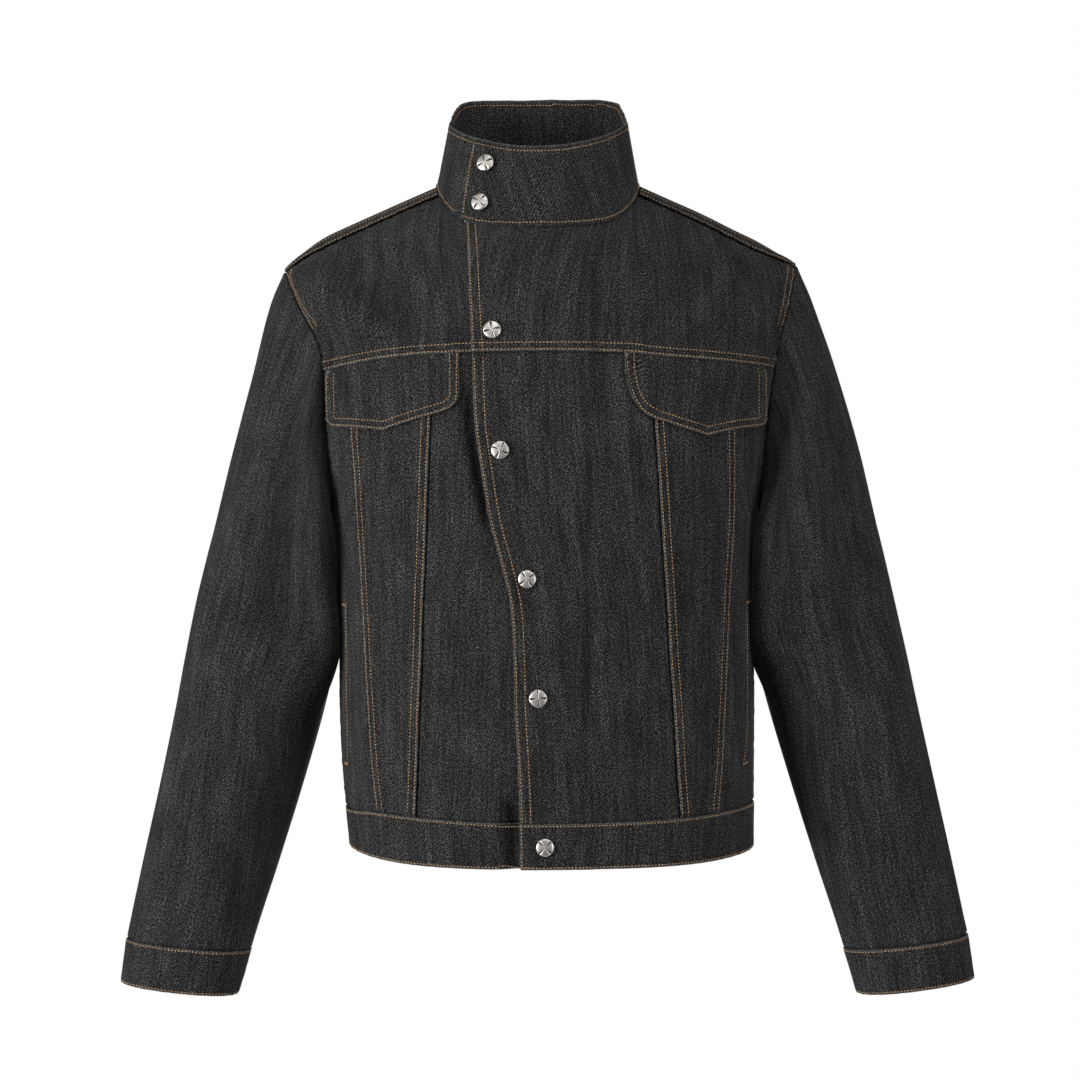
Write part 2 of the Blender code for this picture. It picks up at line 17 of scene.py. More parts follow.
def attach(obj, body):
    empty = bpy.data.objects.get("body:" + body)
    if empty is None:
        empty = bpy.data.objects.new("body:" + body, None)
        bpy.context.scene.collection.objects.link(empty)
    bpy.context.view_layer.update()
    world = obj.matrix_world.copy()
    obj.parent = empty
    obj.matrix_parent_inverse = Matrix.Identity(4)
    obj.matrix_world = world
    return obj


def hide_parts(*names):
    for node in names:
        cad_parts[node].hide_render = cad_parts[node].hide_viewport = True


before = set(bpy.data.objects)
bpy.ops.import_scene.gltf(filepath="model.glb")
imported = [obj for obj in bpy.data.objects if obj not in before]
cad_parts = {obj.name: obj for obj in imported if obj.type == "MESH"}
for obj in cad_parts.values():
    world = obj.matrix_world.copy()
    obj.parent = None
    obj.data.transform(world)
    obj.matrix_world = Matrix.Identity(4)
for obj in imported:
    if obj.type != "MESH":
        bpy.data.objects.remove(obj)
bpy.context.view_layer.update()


# ---------------------------------------------------------------- back
# One wide panel of black denim from the waistband up to the neck; it comes over
# both shoulder crests and is felled over the front yokes with two rows of stitches.

CLOTH = 0.0012          # one layer
DOUBLED = 0.0020        # folded bands and flaps
SEAM = 0.0004           # where two pieces butt
LAY = 0.0005            # one layer lying on another
LAP_LAY = 0.0007        # the lapping front lying on the front under it
SHOULDER_GAP = 0.0004   # the back lying on the yokes' top edges
TWIN_ROWS = (0.0017, 0.0073)    # two rows of stitches, from the folded edge
HEM, CHEST = -0.5450, -0.1520   # about where the panels end
HEM_HALF, BACK_WIDTH = 0.178, 0.43
ARMHOLE_TOP = -0.0700
ROUNDNESS = 2.4         # of the body's oval sections
CREST_FRONT, CREST_BACK = 0.160, 0.090
NECK_HALF, NECK_FRONT_DROP, NECK_BACK_DROP = 0.0888, 0.0680, 0.0151
NECK_DIP = 0.0047       # extra drop at the very front
NECK_SQUARE = 0.77      # under 1: the neck seam is squarer than an oval
UNDERARM = -0.292
SHOULDER_TIP = 0.224
NECK_SHARE = 6 / 14     # of half the back's top edge that is neck seam

Section = namedtuple("Section", "z half front back lean")
TORSO = (
    Section(0.050, 0.2620, 0.0880, 0.1000, 0.0000),
    Section(-0.040, 0.2500, 0.0960, 0.1080, 0.0000),
    Section(-0.100, 0.2355, 0.1100, 0.1160, 0.0000),
    Section(-0.150, 0.2165, 0.1190, 0.1200, 0.0000),
    Section(-0.200, 0.2025, 0.1235, 0.1200, 0.0000),
    Section(-0.250, 0.1935, 0.1255, 0.1170, 0.0006),
    Section(-0.292, 0.1865, 0.1255, 0.1135, 0.0012),
    Section(-0.350, 0.1835, 0.1240, 0.1100, 0.0012),
    Section(-0.410, 0.1815, 0.1220, 0.1080, 0.0012),
    Section(-0.450, 0.1815, 0.1215, 0.1085, 0.0010),
    Section(-0.500, 0.1803, 0.1218, 0.1100, 0.0012),
    Section(-0.545, 0.1783, 0.1220, 0.1125, 0.0024),
    Section(-0.590, 0.1757, 0.1215, 0.1135, 0.0040),
)

Hole = namedtuple("Hole", "z right left back")
ARMHOLE = (
    Hole(ARMHOLE_TOP, 0.2240, 0.2240, 0.2240),
    Hole(-0.1050, 0.2085, 0.2155, 0.2135),
    Hole(-0.1445, 0.1885, 0.2040, 0.2000),
    Hole(-0.2000, 0.1855, 0.1945, 0.1930),
    Hole(-0.2500, 0.1838, 0.1895, 0.1880),
    Hole(UNDERARM, 0.1865, 0.1865, 0.1865),
)

SMOOTHED = {}


def read(table, column, z):
    """Smooth value of one column of a table whose rows run from the top down."""
    found = SMOOTHED.get((id(table), column))
    if found is None:
        rows = [row.z for row in table]
        values = [getattr(row, column) for row in table]
        slopes = []
        for k in range(len(rows)):
            lo, hi = max(0, k - 1), min(len(rows) - 1, k + 1)
            slopes.append((values[hi] - values[lo]) / (rows[hi] - rows[lo]))
        dense, i = [], 0
        for n in range(3001):
            at = rows[0] + (rows[-1] - rows[0]) * n / 3000
            while i < len(rows) - 2 and at < rows[i + 1]:
                i += 1
            step = rows[i + 1] - rows[i]
            t = (at - rows[i]) / step
            bend = t * t * (3 - 2 * t)
            dense.append(values[i] * (1 - bend) + values[i + 1] * bend
                         + step * (slopes[i] * (t - 2 * t * t + t ** 3)
                                   + slopes[i + 1] * (t ** 3 - t * t)))
        found = SMOOTHED[(id(table), column)] = (rows[0], rows[-1], dense)
    top, bottom, dense = found
    way = (z - top) / (bottom - top) * 3000
    if way <= 0:
        return dense[0]
    if way >= 3000:
        return dense[3000]
    i = int(way)
    return dense[i] + (dense[i + 1] - dense[i]) * (way - i)


def mix(a, b, t):
    return a + (b - a) * t


def ease(t):
    t = min(1.0, max(0.0, t))
    return t * t * (3 - 2 * t)


def between(value, start, rise, end, fall):
    """1 between two places, easing in after the first and out after the second."""
    return ease((value - start) / rise) * (1 - ease((value - end) / fall))


def bump(distance, width):
    return exp(-(distance / width) ** 2)


def power(value, exponent):
    return copysign(abs(value) ** exponent, value)


def crest(x):
    """Height of the shoulder crest."""
    past = max(0.0, abs(x) - 0.18)
    droop = 0.0072 * sin(pi * min(1.0, max(0.0, (x - 0.03) / 0.196)) ** 3)
    droop += 0.0018 * between(x, 0.055, 0.04, 0.105, 0.05)
    return 0.0433 - 0.44 * sqrt(x * x + 0.0009) - 7.1 * past * past - droop


def torso_y(x, z, face):
    """Depth of the body's form; face is -1 for the front and 1 for the back."""
    share = min(1.0, abs(x) / read(TORSO, "half", z))
    deep = read(TORSO, "front" if face < 0 else "back", z)
    fall = min(1.0, max(0.0, (crest(x) - z) / (CREST_FRONT if face < 0 else CREST_BACK)))
    return face * deep * (1 - share ** ROUNDNESS) ** (1 / ROUNDNESS) * sqrt(1 - (1 - fall) ** 2)


def lean(x, z):
    """The body's sides hang a little to the wearer's left toward the hem."""
    return x + read(TORSO, "lean", z) * min(1.0, abs(x) / read(TORSO, "half", z)) ** 4


def turn_of(x, z):
    return asin(min(1.0, abs(x) / read(TORSO, "half", z)) ** (ROUNDNESS / 2))


def hole_turn(z, column):
    """Angle of an armhole or side edge round the body at height z."""
    if z <= UNDERARM:
        return radians(90.0)
    return turn_of(read(ARMHOLE, column, z), z)


def round_body(turn, z, face):
    """Point at an angle round the body, a little past the side seam too."""
    x = read(TORSO, "half", z) * sin(turn) ** (2 / ROUNDNESS)
    if z > UNDERARM:
        return x, torso_y(x, z, face)
    return x, face * read(TORSO, "front" if face < 0 else "back", z) * power(cos(turn), 2 / ROUNDNESS)


def yoke_line(x):
    """Height of the yoke's lower edge; it drops toward the arms, more on the right."""
    drop = 0.7 * max(0.0, -x - 0.09) ** 2 + 0.0019 * ease((x - 0.06) / 0.06)
    return -0.1515 - 0.2 * x * x - 0.012 * x - drop


def band_top(x):
    rise = 0.0040 * between(-x, 0.0, 0.14, 0.145, 0.033)
    return -0.5480 + 0.0080 * (abs(x) / HEM_HALF) ** 3.5 + rise


def neck(angle):
    """Neck seam; 0 is the front centre, 90 degrees the wearer's left."""
    s, c = sin(angle), cos(angle)
    x = NECK_HALF * power(s, NECK_SQUARE)
    if c >= 0:
        return x, crest(x) - NECK_FRONT_DROP * c ** 1.3 - NECK_DIP * c ** 40, -1
    return x, crest(x) - NECK_BACK_DROP * c * c, 1


SHOULDER_END = radians(74.2)


def shoulder_seam(x):
    return crest(x) - mix(0.0125, 0.0050, ease((abs(x) - 0.185) / 0.039))


SIDE_WORD = {1: "left", -1: "right"}


def seam_end(side):
    x = SHOULDER_TIP
    for _ in range(6):
        x = read(ARMHOLE, SIDE_WORD[side], shoulder_seam(x * side)) - SEAM / 2
    return x


seam_ends = {side: seam_end(side) for side in SIDE_WORD}

# What one point of a panel knows: how far it is from the panel's four edges.
Spot = namedtuple("Spot", "left right low high u v x y z")
# One patch of cloth: its form, where the grid is close, its spacing and its relief.
Patch = namedtuple("Patch", "place left right low high step relief columns", defaults=(None,))

SEWN = (0.0, 0.0005, 0.0011, 0.0017, 0.0023, 0.0031, 0.0042, 0.0054, 0.0064, 0.0073,
        0.0082, 0.0092, 0.0105, 0.0122)
TUCKED = (-0.0040, -0.0022, -0.0010, -0.0003, 0.0004, 0.0011, 0.0020, 0.0034, 0.0056, 0.0085)
PLAIN = (0.0,)


def ruler(place):
    """Lengths along a line of the form and the shares of the way that they stand at."""
    ends = [(k / 16, place(k / 16)) for k in range(17)]
    parts = list(zip(ends, ends[1:]))[::-1]
    lengths, shares = [0.0], [0.0]
    while parts:
        (a, start), (b, stop) = parts.pop()
        half = (a + b) / 2
        middle = place(half)
        first, second = (middle - start).length, (stop - middle).length
        if abs(first - second) > 0.15 * (first + second) + 0.00005 and b - a > 0.0005:
            parts += [((half, middle), (b, stop)), ((a, start), (half, middle))]
        else:
            lengths += [lengths[-1] + first, lengths[-1] + first + second]
            shares += [half, b]
    return lengths, shares


def matching(known, sought, value):
    """Value of one scale of a ruler beside a value of the other; runs on past both ends."""
    i = min(max(bisect(known, value) - 1, 0), len(known) - 2)
    span = max(1e-9, known[i + 1] - known[i])
    return mix(sought[i], sought[i + 1], (value - known[i]) / span)


def share_at(rule, distance):
    return matching(rule[0], rule[1], distance)


def grid_lines(length, near, count, far):
    first, last = near[-1], length - far[-1]
    between = [mix(first, last, k / (count + 1)) for k in range(1, count + 1)]
    return [*near, *between, *[length - d for d in reversed(far)]]


def made_of(name, shape, *finishes):
    """The object of a finished shape, at the origin."""
    mesh = bpy.data.meshes.new(name)
    shape.to_mesh(mesh)
    shape.free()
    mesh.shade_smooth()
    for finish in finishes:
        mesh.materials.append(finish)
    piece = bpy.data.objects.new(name, mesh)
    bpy.context.scene.collection.objects.link(piece)
    return piece


LAID = {}


def lay_cloth(name, patches, wall, grain=(0.0, 0.0), weld=False, inner=1, folded=("low",)):
    """A thin wall of cloth over its form, with its relief and its grain in metres."""
    sheet = bmesh.new()
    weave = sheet.loops.layers.uv.new("grain")
    worn = sheet.verts.layers.float.new("worn")
    lift = sheet.verts.layers.float.new("lift")
    for patch in patches:
        place = patch.place
        middle_row, middle_column = ruler(lambda u: place(u, 0.5)), ruler(lambda v: place(0.5, v))
        width, length = middle_row[0][-1], middle_column[0][-1]
        across = max(1, round((width - patch.left[-1] - patch.right[-1]) / patch.step)) - 1
        up = max(1, round((length - patch.low[-1] - patch.high[-1]) / patch.step)) - 1
        rows = grid_lines(length, patch.low, up, patch.high)
        if patch.columns:
            columns = [u * width for u in patch.columns]
        else:
            columns = grid_lines(width, patch.left, across, patch.right)
        row_rules = [ruler(lambda u, v=min(1.0, max(0.0, r / length)): place(u, v)) for r in rows]
        column_rules = [ruler(lambda v, u=min(1.0, max(0.0, c / width)): place(u, v)) for c in columns]
        row_columns = [grid_lines(rule[0][-1], patch.left, across, patch.right) for rule in row_rules]
        column_rows = [grid_lines(rule[0][-1], patch.low, up, patch.high) for rule in column_rules]
        grid = bmesh.ops.create_grid(sheet, x_segments=len(columns) - 1, y_segments=len(rows) - 1,
                                     size=0.5)
        cloth_at = {}
        for vert in grid["verts"]:
            i = round((vert.co.x + 0.5) * (len(columns) - 1))
            j = round((vert.co.y + 0.5) * (len(rows) - 1))
            if patch.columns:
                u = patch.columns[i]
                from_left = matching(row_rules[j][1], row_rules[j][0], u)
            else:
                from_left = row_columns[j][i]
                u = share_at(row_rules[j], from_left)
            from_low = column_rows[i][j]
            v = share_at(column_rules[i], from_low)
            point = place(u, v)
            spot = Spot(from_left, row_rules[j][0][-1] - from_left, from_low,
                        column_rules[i][0][-1] - from_low, u, v, point.x, point.y, point.z)
            vert.co = point
            vert[lift] = patch.relief(spot)
            vert[worn] = sum(bump(getattr(spot, edge) - 0.0004, 0.0009) for edge in folded)
            cloth_at[vert] = (grain[0] + from_left - row_rules[j][0][-1] / 2, grain[1] + from_low)
        for vert, at in cloth_at.items():
            for loop in vert.link_loops:
                loop[weave].uv = at
    if weld:
        bmesh.ops.remove_doubles(sheet, verts=sheet.verts, dist=0.00003)
    sheet.normal_update()
    moved = [(vert, vert.normal * vert[lift]) for vert in sheet.verts]
    for vert, step in moved:
        vert.co += step
    LAID[name] = BVHTree.FromBMesh(sheet)
    piece = made_of(name, sheet, denim, denim_reverse)
    thick = piece.modifiers.new("wall", 'SOLIDIFY')
    thick.thickness = wall
    thick.offset = -1.0
    thick.material_offset = inner
    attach(piece, "root")
    return piece


def needled(d, rows=TWIN_ROWS):
    """1 where a row of stitches draws the cloth in."""
    return sum(bump(d - row, 0.0007) for row in rows)


def rolled(d, turn):
    """1 on a folded edge, falling to 0 over the turn of the fold."""
    return (1 - min(1.0, max(0.0, d) / turn)) ** 2


def felled(d):
    """Relief of a folded edge that laps over its neighbour, with two rows of stitches."""
    raised = 0.0015 * (1 - ease((d - 0.0078) / 0.0040))
    return raised - 0.00045 * needled(d) - 0.0007 * rolled(d, 0.0009)


def tucked(d):
    """Relief of an edge that goes in under its neighbour."""
    return -0.0018 * (1 - ease((d + 0.0005) / 0.0026))


def puckers(along, away, seed):
    """Uneven ripples that sewing leaves beside a seam."""
    ripple = (sin(along * tau / 0.0121 + seed) + 0.8 * sin(along * tau / 0.0083 + 2.3 * seed)
              + 0.6 * sin(along * tau / 0.0197 + 4.1 * seed))
    return 0.00022 * ripple * bump(away, 0.0095)


Crease = namedtuple("Crease", "x0 z0 x1 z1 width depth")


def creases(table, x, z):
    """Soft troughs (depth under 0) and ridges between the points of a short table."""
    total = 0.0
    for fold in table:
        along_x, along_z = fold.x1 - fold.x0, fold.z1 - fold.z0
        size = along_x * along_x + along_z * along_z
        t = ((x - fold.x0) * along_x + (z - fold.z0) * along_z) / size
        if -0.3 < t < 1.3:
            off = abs((x - fold.x0) * along_z - (z - fold.z0) * along_x) / sqrt(size)
            if off < 3 * fold.width:
                total += fold.depth * bump(off, fold.width) * ease((t + 0.3) / 0.6) * ease((1.3 - t) / 0.6)
    return total


def finish_of(name):
    """A new finish, with its nodes and its surface."""
    finish = bpy.data.materials.new(name)
    finish.use_nodes = True
    return finish, finish.node_tree, finish.node_tree.nodes["Principled BSDF"]


def plug(tree, made, inputs):
    """Set a node's inputs, each to a value or to another node's output."""
    for key, value in inputs.items():
        if isinstance(value, bpy.types.NodeSocket):
            tree.links.new(value, made.inputs[key])
        else:
            made.inputs[key].default_value = value


def node(tree, kind, inputs=None, **settings):
    made = tree.nodes.new(kind)
    for key, value in settings.items():
        setattr(made, key, value)
    plug(tree, made, inputs or {})
    return made


def sum_of(tree, operation, a, b=0.0, c=0.0):
    return node(tree, "ShaderNodeMath", {0: a, 1: b, 2: c}, operation=operation).outputs[0]


def spread(tree, value, low, high, out_low=0.0, out_high=1.0):
    return node(tree, "ShaderNodeMapRange", {0: value, 1: low, 2: high, 3: out_low, 4: out_high}).outputs[0]


def blend(tree, share, first, second):
    return node(tree, "ShaderNodeMix", {0: share, 6: first, 7: second}, data_type='RGBA').outputs[2]


def scaled(tree, vector, size):
    return node(tree, "ShaderNodeVectorMath", {0: vector, "Scale": size}, operation='SCALE').outputs[0]


def speckle(tree, where, scale, detail, **settings):
    return node(tree, "ShaderNodeTexNoise", {"Vector": where, "Scale": scale, "Detail": detail},
                **settings).outputs[0]


# The weave: a right-hand twill of black warp over pale weft. The wales climb to the
# right, the weft shows between them as flecks, and thick and thin yarns leave slubs.
weave_group = bpy.data.node_groups.new("twill_weave", "ShaderNodeTree")
for socket, kind in (("Grain", "NodeSocketVector"), ("Worn", "NodeSocketFloat"),
                     ("Warp", "NodeSocketColor"), ("Weft", "NodeSocketColor")):
    weave_group.interface.new_socket(socket, in_out='INPUT', socket_type=kind)
for socket, kind in (("Color", "NodeSocketColor"), ("Height", "NodeSocketFloat"),
                     ("Roughness", "NodeSocketFloat")):
    weave_group.interface.new_socket(socket, in_out='OUTPUT', socket_type=kind)
g = weave_group
taken = g.nodes.new("NodeGroupInput")
given = g.nodes.new("NodeGroupOutput")


def yarn_noise(scale, detail, across=1.0, up=1.0):
    """Noise in the plane of the cloth, so many features to the metre."""
    at = node(g, "ShaderNodeVectorMath", {0: taken.outputs["Grain"], 1: (scale * across, scale * up, 1.0)},
              operation='MULTIPLY').outputs[0]
    return speckle(g, at, 1.0, detail, noise_dimensions='2D')


apart = node(g, "ShaderNodeSeparateXYZ", {0: taken.outputs["Grain"]})
slant = sum_of(g, 'SUBTRACT', sum_of(g, 'MULTIPLY', apart.outputs[0], 0.80),
               sum_of(g, 'MULTIPLY', apart.outputs[1], 0.60))
wale = sum_of(g, 'SINE', sum_of(g, 'MULTIPLY_ADD', slant, tau / 0.00185,
                                sum_of(g, 'MULTIPLY', yarn_noise(150.0, 2.0), 7.0)))
specks = yarn_noise(860.0, 0.0)
clumps = yarn_noise(460.0, 1.0)
weft_shows = sum_of(g, 'MULTIPLY_ADD', specks, 0.62,
                    sum_of(g, 'MULTIPLY_ADD', clumps, 0.28, sum_of(g, 'MULTIPLY_ADD', wale, 0.10, 0.05)))
fleck = sum_of(g, 'MULTIPLY', sum_of(g, 'POWER', spread(g, weft_shows, 0.45, 0.76, 0.0, 1.0), 1.2),
               spread(g, yarn_noise(60.0, 2.0, 1.0, 0.5), 0.35, 0.65, 0.80, 1.20))
slubs = sum_of(g, 'MULTIPLY', spread(g, yarn_noise(420.0, 2.0, 1.0, 0.045), 0.30, 0.70, 0.70, 1.33),
               spread(g, yarn_noise(95.0, 2.0, 1.0, 0.075), 0.30, 0.70, 0.84, 1.18))
tone = sum_of(g, 'MULTIPLY', slubs, spread(g, yarn_noise(56.0, 2.0, 1.0, 0.35), 0.30, 0.70, 0.90, 1.11))
yarns = blend(g, fleck, taken.outputs["Warp"], taken.outputs["Weft"])
rubbed = sum_of(g, 'MULTIPLY', taken.outputs["Worn"], spread(g, specks, 0.35, 0.65, 0.10, 0.75))
plug(g, given, {
    "Color": blend(g, rubbed, scaled(g, yarns, tone), scaled(g, taken.outputs["Weft"], 1.8)),
    "Height": weft_shows,
    "Roughness": spread(g, specks, 0.3, 0.7, 0.95, 0.78),
})


def denim_finish(name, warp, weft):
    finish, tree, surface = finish_of(name)
    cloth = node(tree, "ShaderNodeGroup", {
        "Grain": node(tree, "ShaderNodeUVMap", uv_map="grain").outputs[0],
        "Worn": node(tree, "ShaderNodeAttribute", attribute_name="worn").outputs["Fac"],
        "Warp": (*warp, 1.0), "Weft": (*weft, 1.0)}, node_tree=weave_group)
    relief = node(tree, "ShaderNodeBump", {"Height": cloth.outputs["Height"], "Strength": 0.5,
                                           "Distance": 0.0004})
    plug(tree, surface, {
        "Base Color": cloth.outputs["Color"], "Roughness": cloth.outputs["Roughness"],
        "Normal": relief.outputs[0], "Specular IOR Level": 0.10, "Sheen Weight": 0.05,
        "Sheen Roughness": 0.45})
    return finish


denim = denim_finish("black_denim", (0.0080, 0.0080, 0.0085), (0.095, 0.094, 0.092))
denim_reverse = denim_finish("black_denim_reverse", (0.030, 0.030, 0.031), (0.200, 0.197, 0.192))


def back_place(u, v):
    across = 1 - 2 * u
    side = copysign(1.0, across)
    k = abs(across)
    if k <= NECK_SHARE:
        x_top, z_top, _ = neck(radians(180.0 - 90.0 * k / NECK_SHARE) * side)
        x_top = abs(x_top)
    else:
        x_top = mix(NECK_HALF, SHOULDER_TIP, min(1.0, (k - NECK_SHARE) / (1 - NECK_SHARE)))
        z_top = crest(x_top * side)
    k_top = turn_of(x_top, z_top) / hole_turn(min(z_top, ARMHOLE_TOP), "back")
    z = mix(HEM, z_top, v)
    over = max(0.0, k - 1.0) * max(0.04, ease((UNDERARM - z) / 0.02))
    share = mix(min(k, 1.0), min(1.0, k_top), ease(v / 0.9)) + over
    x, y = round_body(share * hole_turn(min(z, ARMHOLE_TOP), "back"), z, 1)
    z = mix(band_top(x), z_top, v)
    x, y = round_body(share * hole_turn(min(z, ARMHOLE_TOP), "back"), z, 1)
    return Vector((lean(x * side, z), y, z))


def strip_place(side):
    """The part of the back that comes forward over a shoulder crest."""
    def place(u, v):
        k, r = (u, 1 - v) if side > 0 else (1 - u, 1 - v)
        x_inner = neck(mix(radians(90.0), SHOULDER_END, r))[0]
        x_outer = mix(SHOULDER_TIP, seam_ends[side], r * r)
        x = mix(x_inner, x_outer, k) * side
        drop = crest(x) - shoulder_seam(x)
        z = crest(x) - drop * r ** (1.3 + 0.7 * k)
        return Vector((x, torso_y(x, z, -1), z + SHOULDER_GAP * r))
    return place


BACK_FOLDS = (
    Crease(-0.150, -0.120, -0.090, -0.300, 0.020, -0.0034),
    Crease(0.158, -0.125, 0.104, -0.270, 0.018, -0.0030),
    Crease(-0.040, -0.330, -0.060, -0.520, 0.022, -0.0022),
    Crease(0.060, -0.380, 0.075, -0.530, 0.016, -0.0024),
    Crease(0.010, -0.090, 0.004, -0.240, 0.030, 0.0016),
    Crease(-0.125, -0.420, -0.100, -0.520, 0.013, -0.0018),
    Crease(0.135, -0.330, 0.150, -0.450, 0.013, -0.0016),
)


def back_relief(at):
    arm = min(at.left, at.right)
    rise = mix(tucked(arm), felled(arm), ease((at.z - UNDERARM) / 0.012)) * ease((0.03 + at.v) / 0.03)
    rise += puckers(at.z, arm, 1.3) + puckers(at.x, at.low, 0.7)
    rise += creases(BACK_FOLDS, at.x, at.z) * ease(at.high / 0.03)
    return rise + tucked(at.low) - 0.0003 * (1 - ease(at.high / 0.02)) * (abs(at.x) < NECK_HALF)


def strip_relief(at):
    return felled(at.low) * ease(at.high / 0.006) + puckers(at.x, at.low, 2.2) * 0.8


near_arm = [1 - d / (BACK_WIDTH / 2) for d in SEWN]
crest_columns = [mix(NECK_SHARE, near_arm[-1], k / 32) for k in range(32)] + near_arm[::-1]
neck_columns = [NECK_SHARE * k / 26 for k in range(26)]
half_back = neck_columns + crest_columns + [1 + d / (BACK_WIDTH / 2) for d in (0.0008, 0.0022, 0.0040)]
whole_back = [-k for k in half_back[:0:-1]] + half_back
strip_columns = [(k - NECK_SHARE) / (1 - NECK_SHARE) for k in crest_columns]
back = lay_cloth("back_panel", [
    Patch(back_place, PLAIN, PLAIN, TUCKED, (0.0, 0.0020, 0.0045), 0.0042, back_relief,
          [(1 + k) / 2 for k in whole_back]),
    Patch(strip_place(1), PLAIN, PLAIN, SEWN[:7], (0.0, 0.0008), 0.0012, strip_relief, strip_columns),
    Patch(strip_place(-1), PLAIN, PLAIN, SEWN[:7], (0.0, 0.0008), 0.0012, strip_relief,
          [1 - k for k in reversed(strip_columns)]),
], CLOTH, grain=(0.11, 0.02), weld=True, folded=())
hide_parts("back")

# Topstitching thread: a heavy copper-coloured cotton thread, a stitch every 3 mm.
thread_finish, tree, surface = finish_of("copper_thread")
where = node(tree, "ShaderNodeTexCoord").outputs["Object"]
dye = spread(tree, speckle(tree, where, 260.0, 1.0), 0.35, 0.65)
plies = node(tree, "ShaderNodeBump", {"Height": speckle(tree, where, 2600.0, 1.0), "Strength": 0.5,
                                      "Distance": 0.0002})
plug(tree, surface, {
    "Base Color": blend(tree, dye, (0.370, 0.180, 0.080, 1.0), (0.600, 0.410, 0.200, 1.0)),
    "Normal": plies.outputs[0], "Roughness": 0.55, "Specular IOR Level": 0.3, "Sheen Weight": 0.2})

STITCH_PITCH, STITCH_LENGTH, STITCH_WIDTH, STITCH_HEIGHT = 0.0030, 0.0022, 0.00095, 0.00070
jitter = random.Random(7)


def beside(place, edge, away, start=0.0, end=1.0, count=90):
    """Points of a panel that keep one distance from one of its edges."""
    points = []
    whole = (lambda t: place(0.5, t)) if edge in ("left", "right") else (lambda t: place(t, 0.5))
    stops = {mix(start, end, n / count) for n in range(count + 1)}
    for t in sorted(stops | {share for share in ruler(whole)[1] if start < share < end}):
        along = (lambda w: place(w, t)) if edge in ("left", "right") else (lambda w: place(t, w))
        rule = ruler(along)
        distance = away if edge in ("left", "low") else rule[0][-1] - away
        points.append(along(share_at(rule, distance)))
    return points


def topstitch(name, cloth_name, lines, inside=0.0, pitch=STITCH_PITCH):
    """Rows of stitches laid on a cloth's face, or on its inner face at a wall's depth."""
    tree_of_cloth = LAID[cloth_name]
    rows = bmesh.new()
    for line in lines:
        laid = [tree_of_cloth.find_nearest(point) for point in line]
        spots = [(found[0], found[1]) for found in laid]
        far = [0.0]
        for a, b in zip(spots, spots[1:]):
            far.append(far[-1] + (b[0] - a[0]).length)
        row = bmesh.new()
        i = 0
        for n in range(int(far[-1] / pitch)):
            here = (n + 0.5) * pitch
            while far[i + 1] < here:
                i += 1
            part = (here - far[i]) / max(1e-9, far[i + 1] - far[i])
            point = spots[i][0].lerp(spots[i + 1][0], part)
            out = spots[i][1].lerp(spots[i + 1][1], part).normalized()
            way = (spots[i + 1][0] - spots[i][0]).normalized()
            side = out.cross(way).normalized()
            way = (side.cross(out) + side * jitter.uniform(-0.10, 0.02)).normalized()
            if inside:
                point, out = point - out * (inside + 0.0001), -out
            size = STITCH_LENGTH * jitter.uniform(0.92, 1.05) * pitch / STITCH_PITCH
            shape = Matrix((way * size / 2, side * STITCH_WIDTH / 2, out * STITCH_HEIGHT / 2))
            stood = Matrix.Translation(point + out * 0.00018) @ shape.transposed().to_4x4()
            bmesh.ops.create_icosphere(row, subdivisions=1, radius=1.0, matrix=stood)
        row_mesh = bpy.data.meshes.new("row")
        row.to_mesh(row_mesh)
        row.free()
        rows.from_mesh(row_mesh)
        bpy.data.meshes.remove(row_mesh)
    bmesh.ops.recalc_face_normals(rows, faces=rows.faces)
    piece = made_of(name, rows, thread_finish)
    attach(piece, "root")
    return piece


back_rows = [beside(strip_place(side), "low", TWIN_ROWS[0]) for side in (1, -1)]
back_rows += [[strip_place(side)(k / 90, 0.47) for k in range(91)] for side in (1, -1)]
for arm in (0.0, 1.0):
    for away in TWIN_ROWS:
        back_rows.append([back_place(abs(arm - away / BACK_WIDTH), v / 60) for v in range(45, 61)])
back_thread = topstitch("back_topstitching", "back_panel", back_rows)


# ---------------------------------------------------------------- front panels
# Each front is three panels: a centre panel, a narrow one that tapers to the hem and is
# felled over both neighbours, and a side panel. Wearer's left laps over right.

Seam = namedtuple("Seam", "z lap under inner right left")
FRONT_SEAMS = (
    Seam(0.000, -0.0665, 0.0560, 0.0850, 0.1710, 0.1720),
    Seam(-0.036, -0.0628, 0.0530, 0.0860, 0.1690, 0.1700),
    Seam(-0.072, -0.0612, 0.0500, 0.0870, 0.1680, 0.1690),
    Seam(-0.107, -0.0602, 0.0470, 0.0885, 0.1663, 0.1675),
    Seam(-0.150, -0.0585, 0.0435, 0.0905, 0.1652, 0.1665),
    Seam(-0.188, -0.0577, 0.0402, 0.0930, 0.1642, 0.1650),
    Seam(-0.217, -0.0564, 0.0385, 0.0945, 0.1632, 0.1640),
    Seam(-0.251, -0.0518, 0.0370, 0.0965, 0.1613, 0.1636),
    Seam(-0.292, -0.0456, 0.0352, 0.0985, 0.1598, 0.1622),
    Seam(-0.327, -0.0370, 0.0343, 0.1002, 0.1578, 0.1600),
    Seam(-0.364, -0.0292, 0.0330, 0.1025, 0.1563, 0.1573),
    Seam(-0.410, -0.0269, 0.0320, 0.1045, 0.1546, 0.1550),
    Seam(-0.455, -0.0265, 0.0310, 0.1072, 0.1523, 0.1525),
    Seam(-0.500, -0.0245, 0.0292, 0.1092, 0.1498, 0.1496),
    Seam(-0.550, -0.0232, 0.0273, 0.1120, 0.1453, 0.1444),
    Seam(-0.595, -0.0226, 0.0270, 0.1140, 0.1423, 0.1414),
)


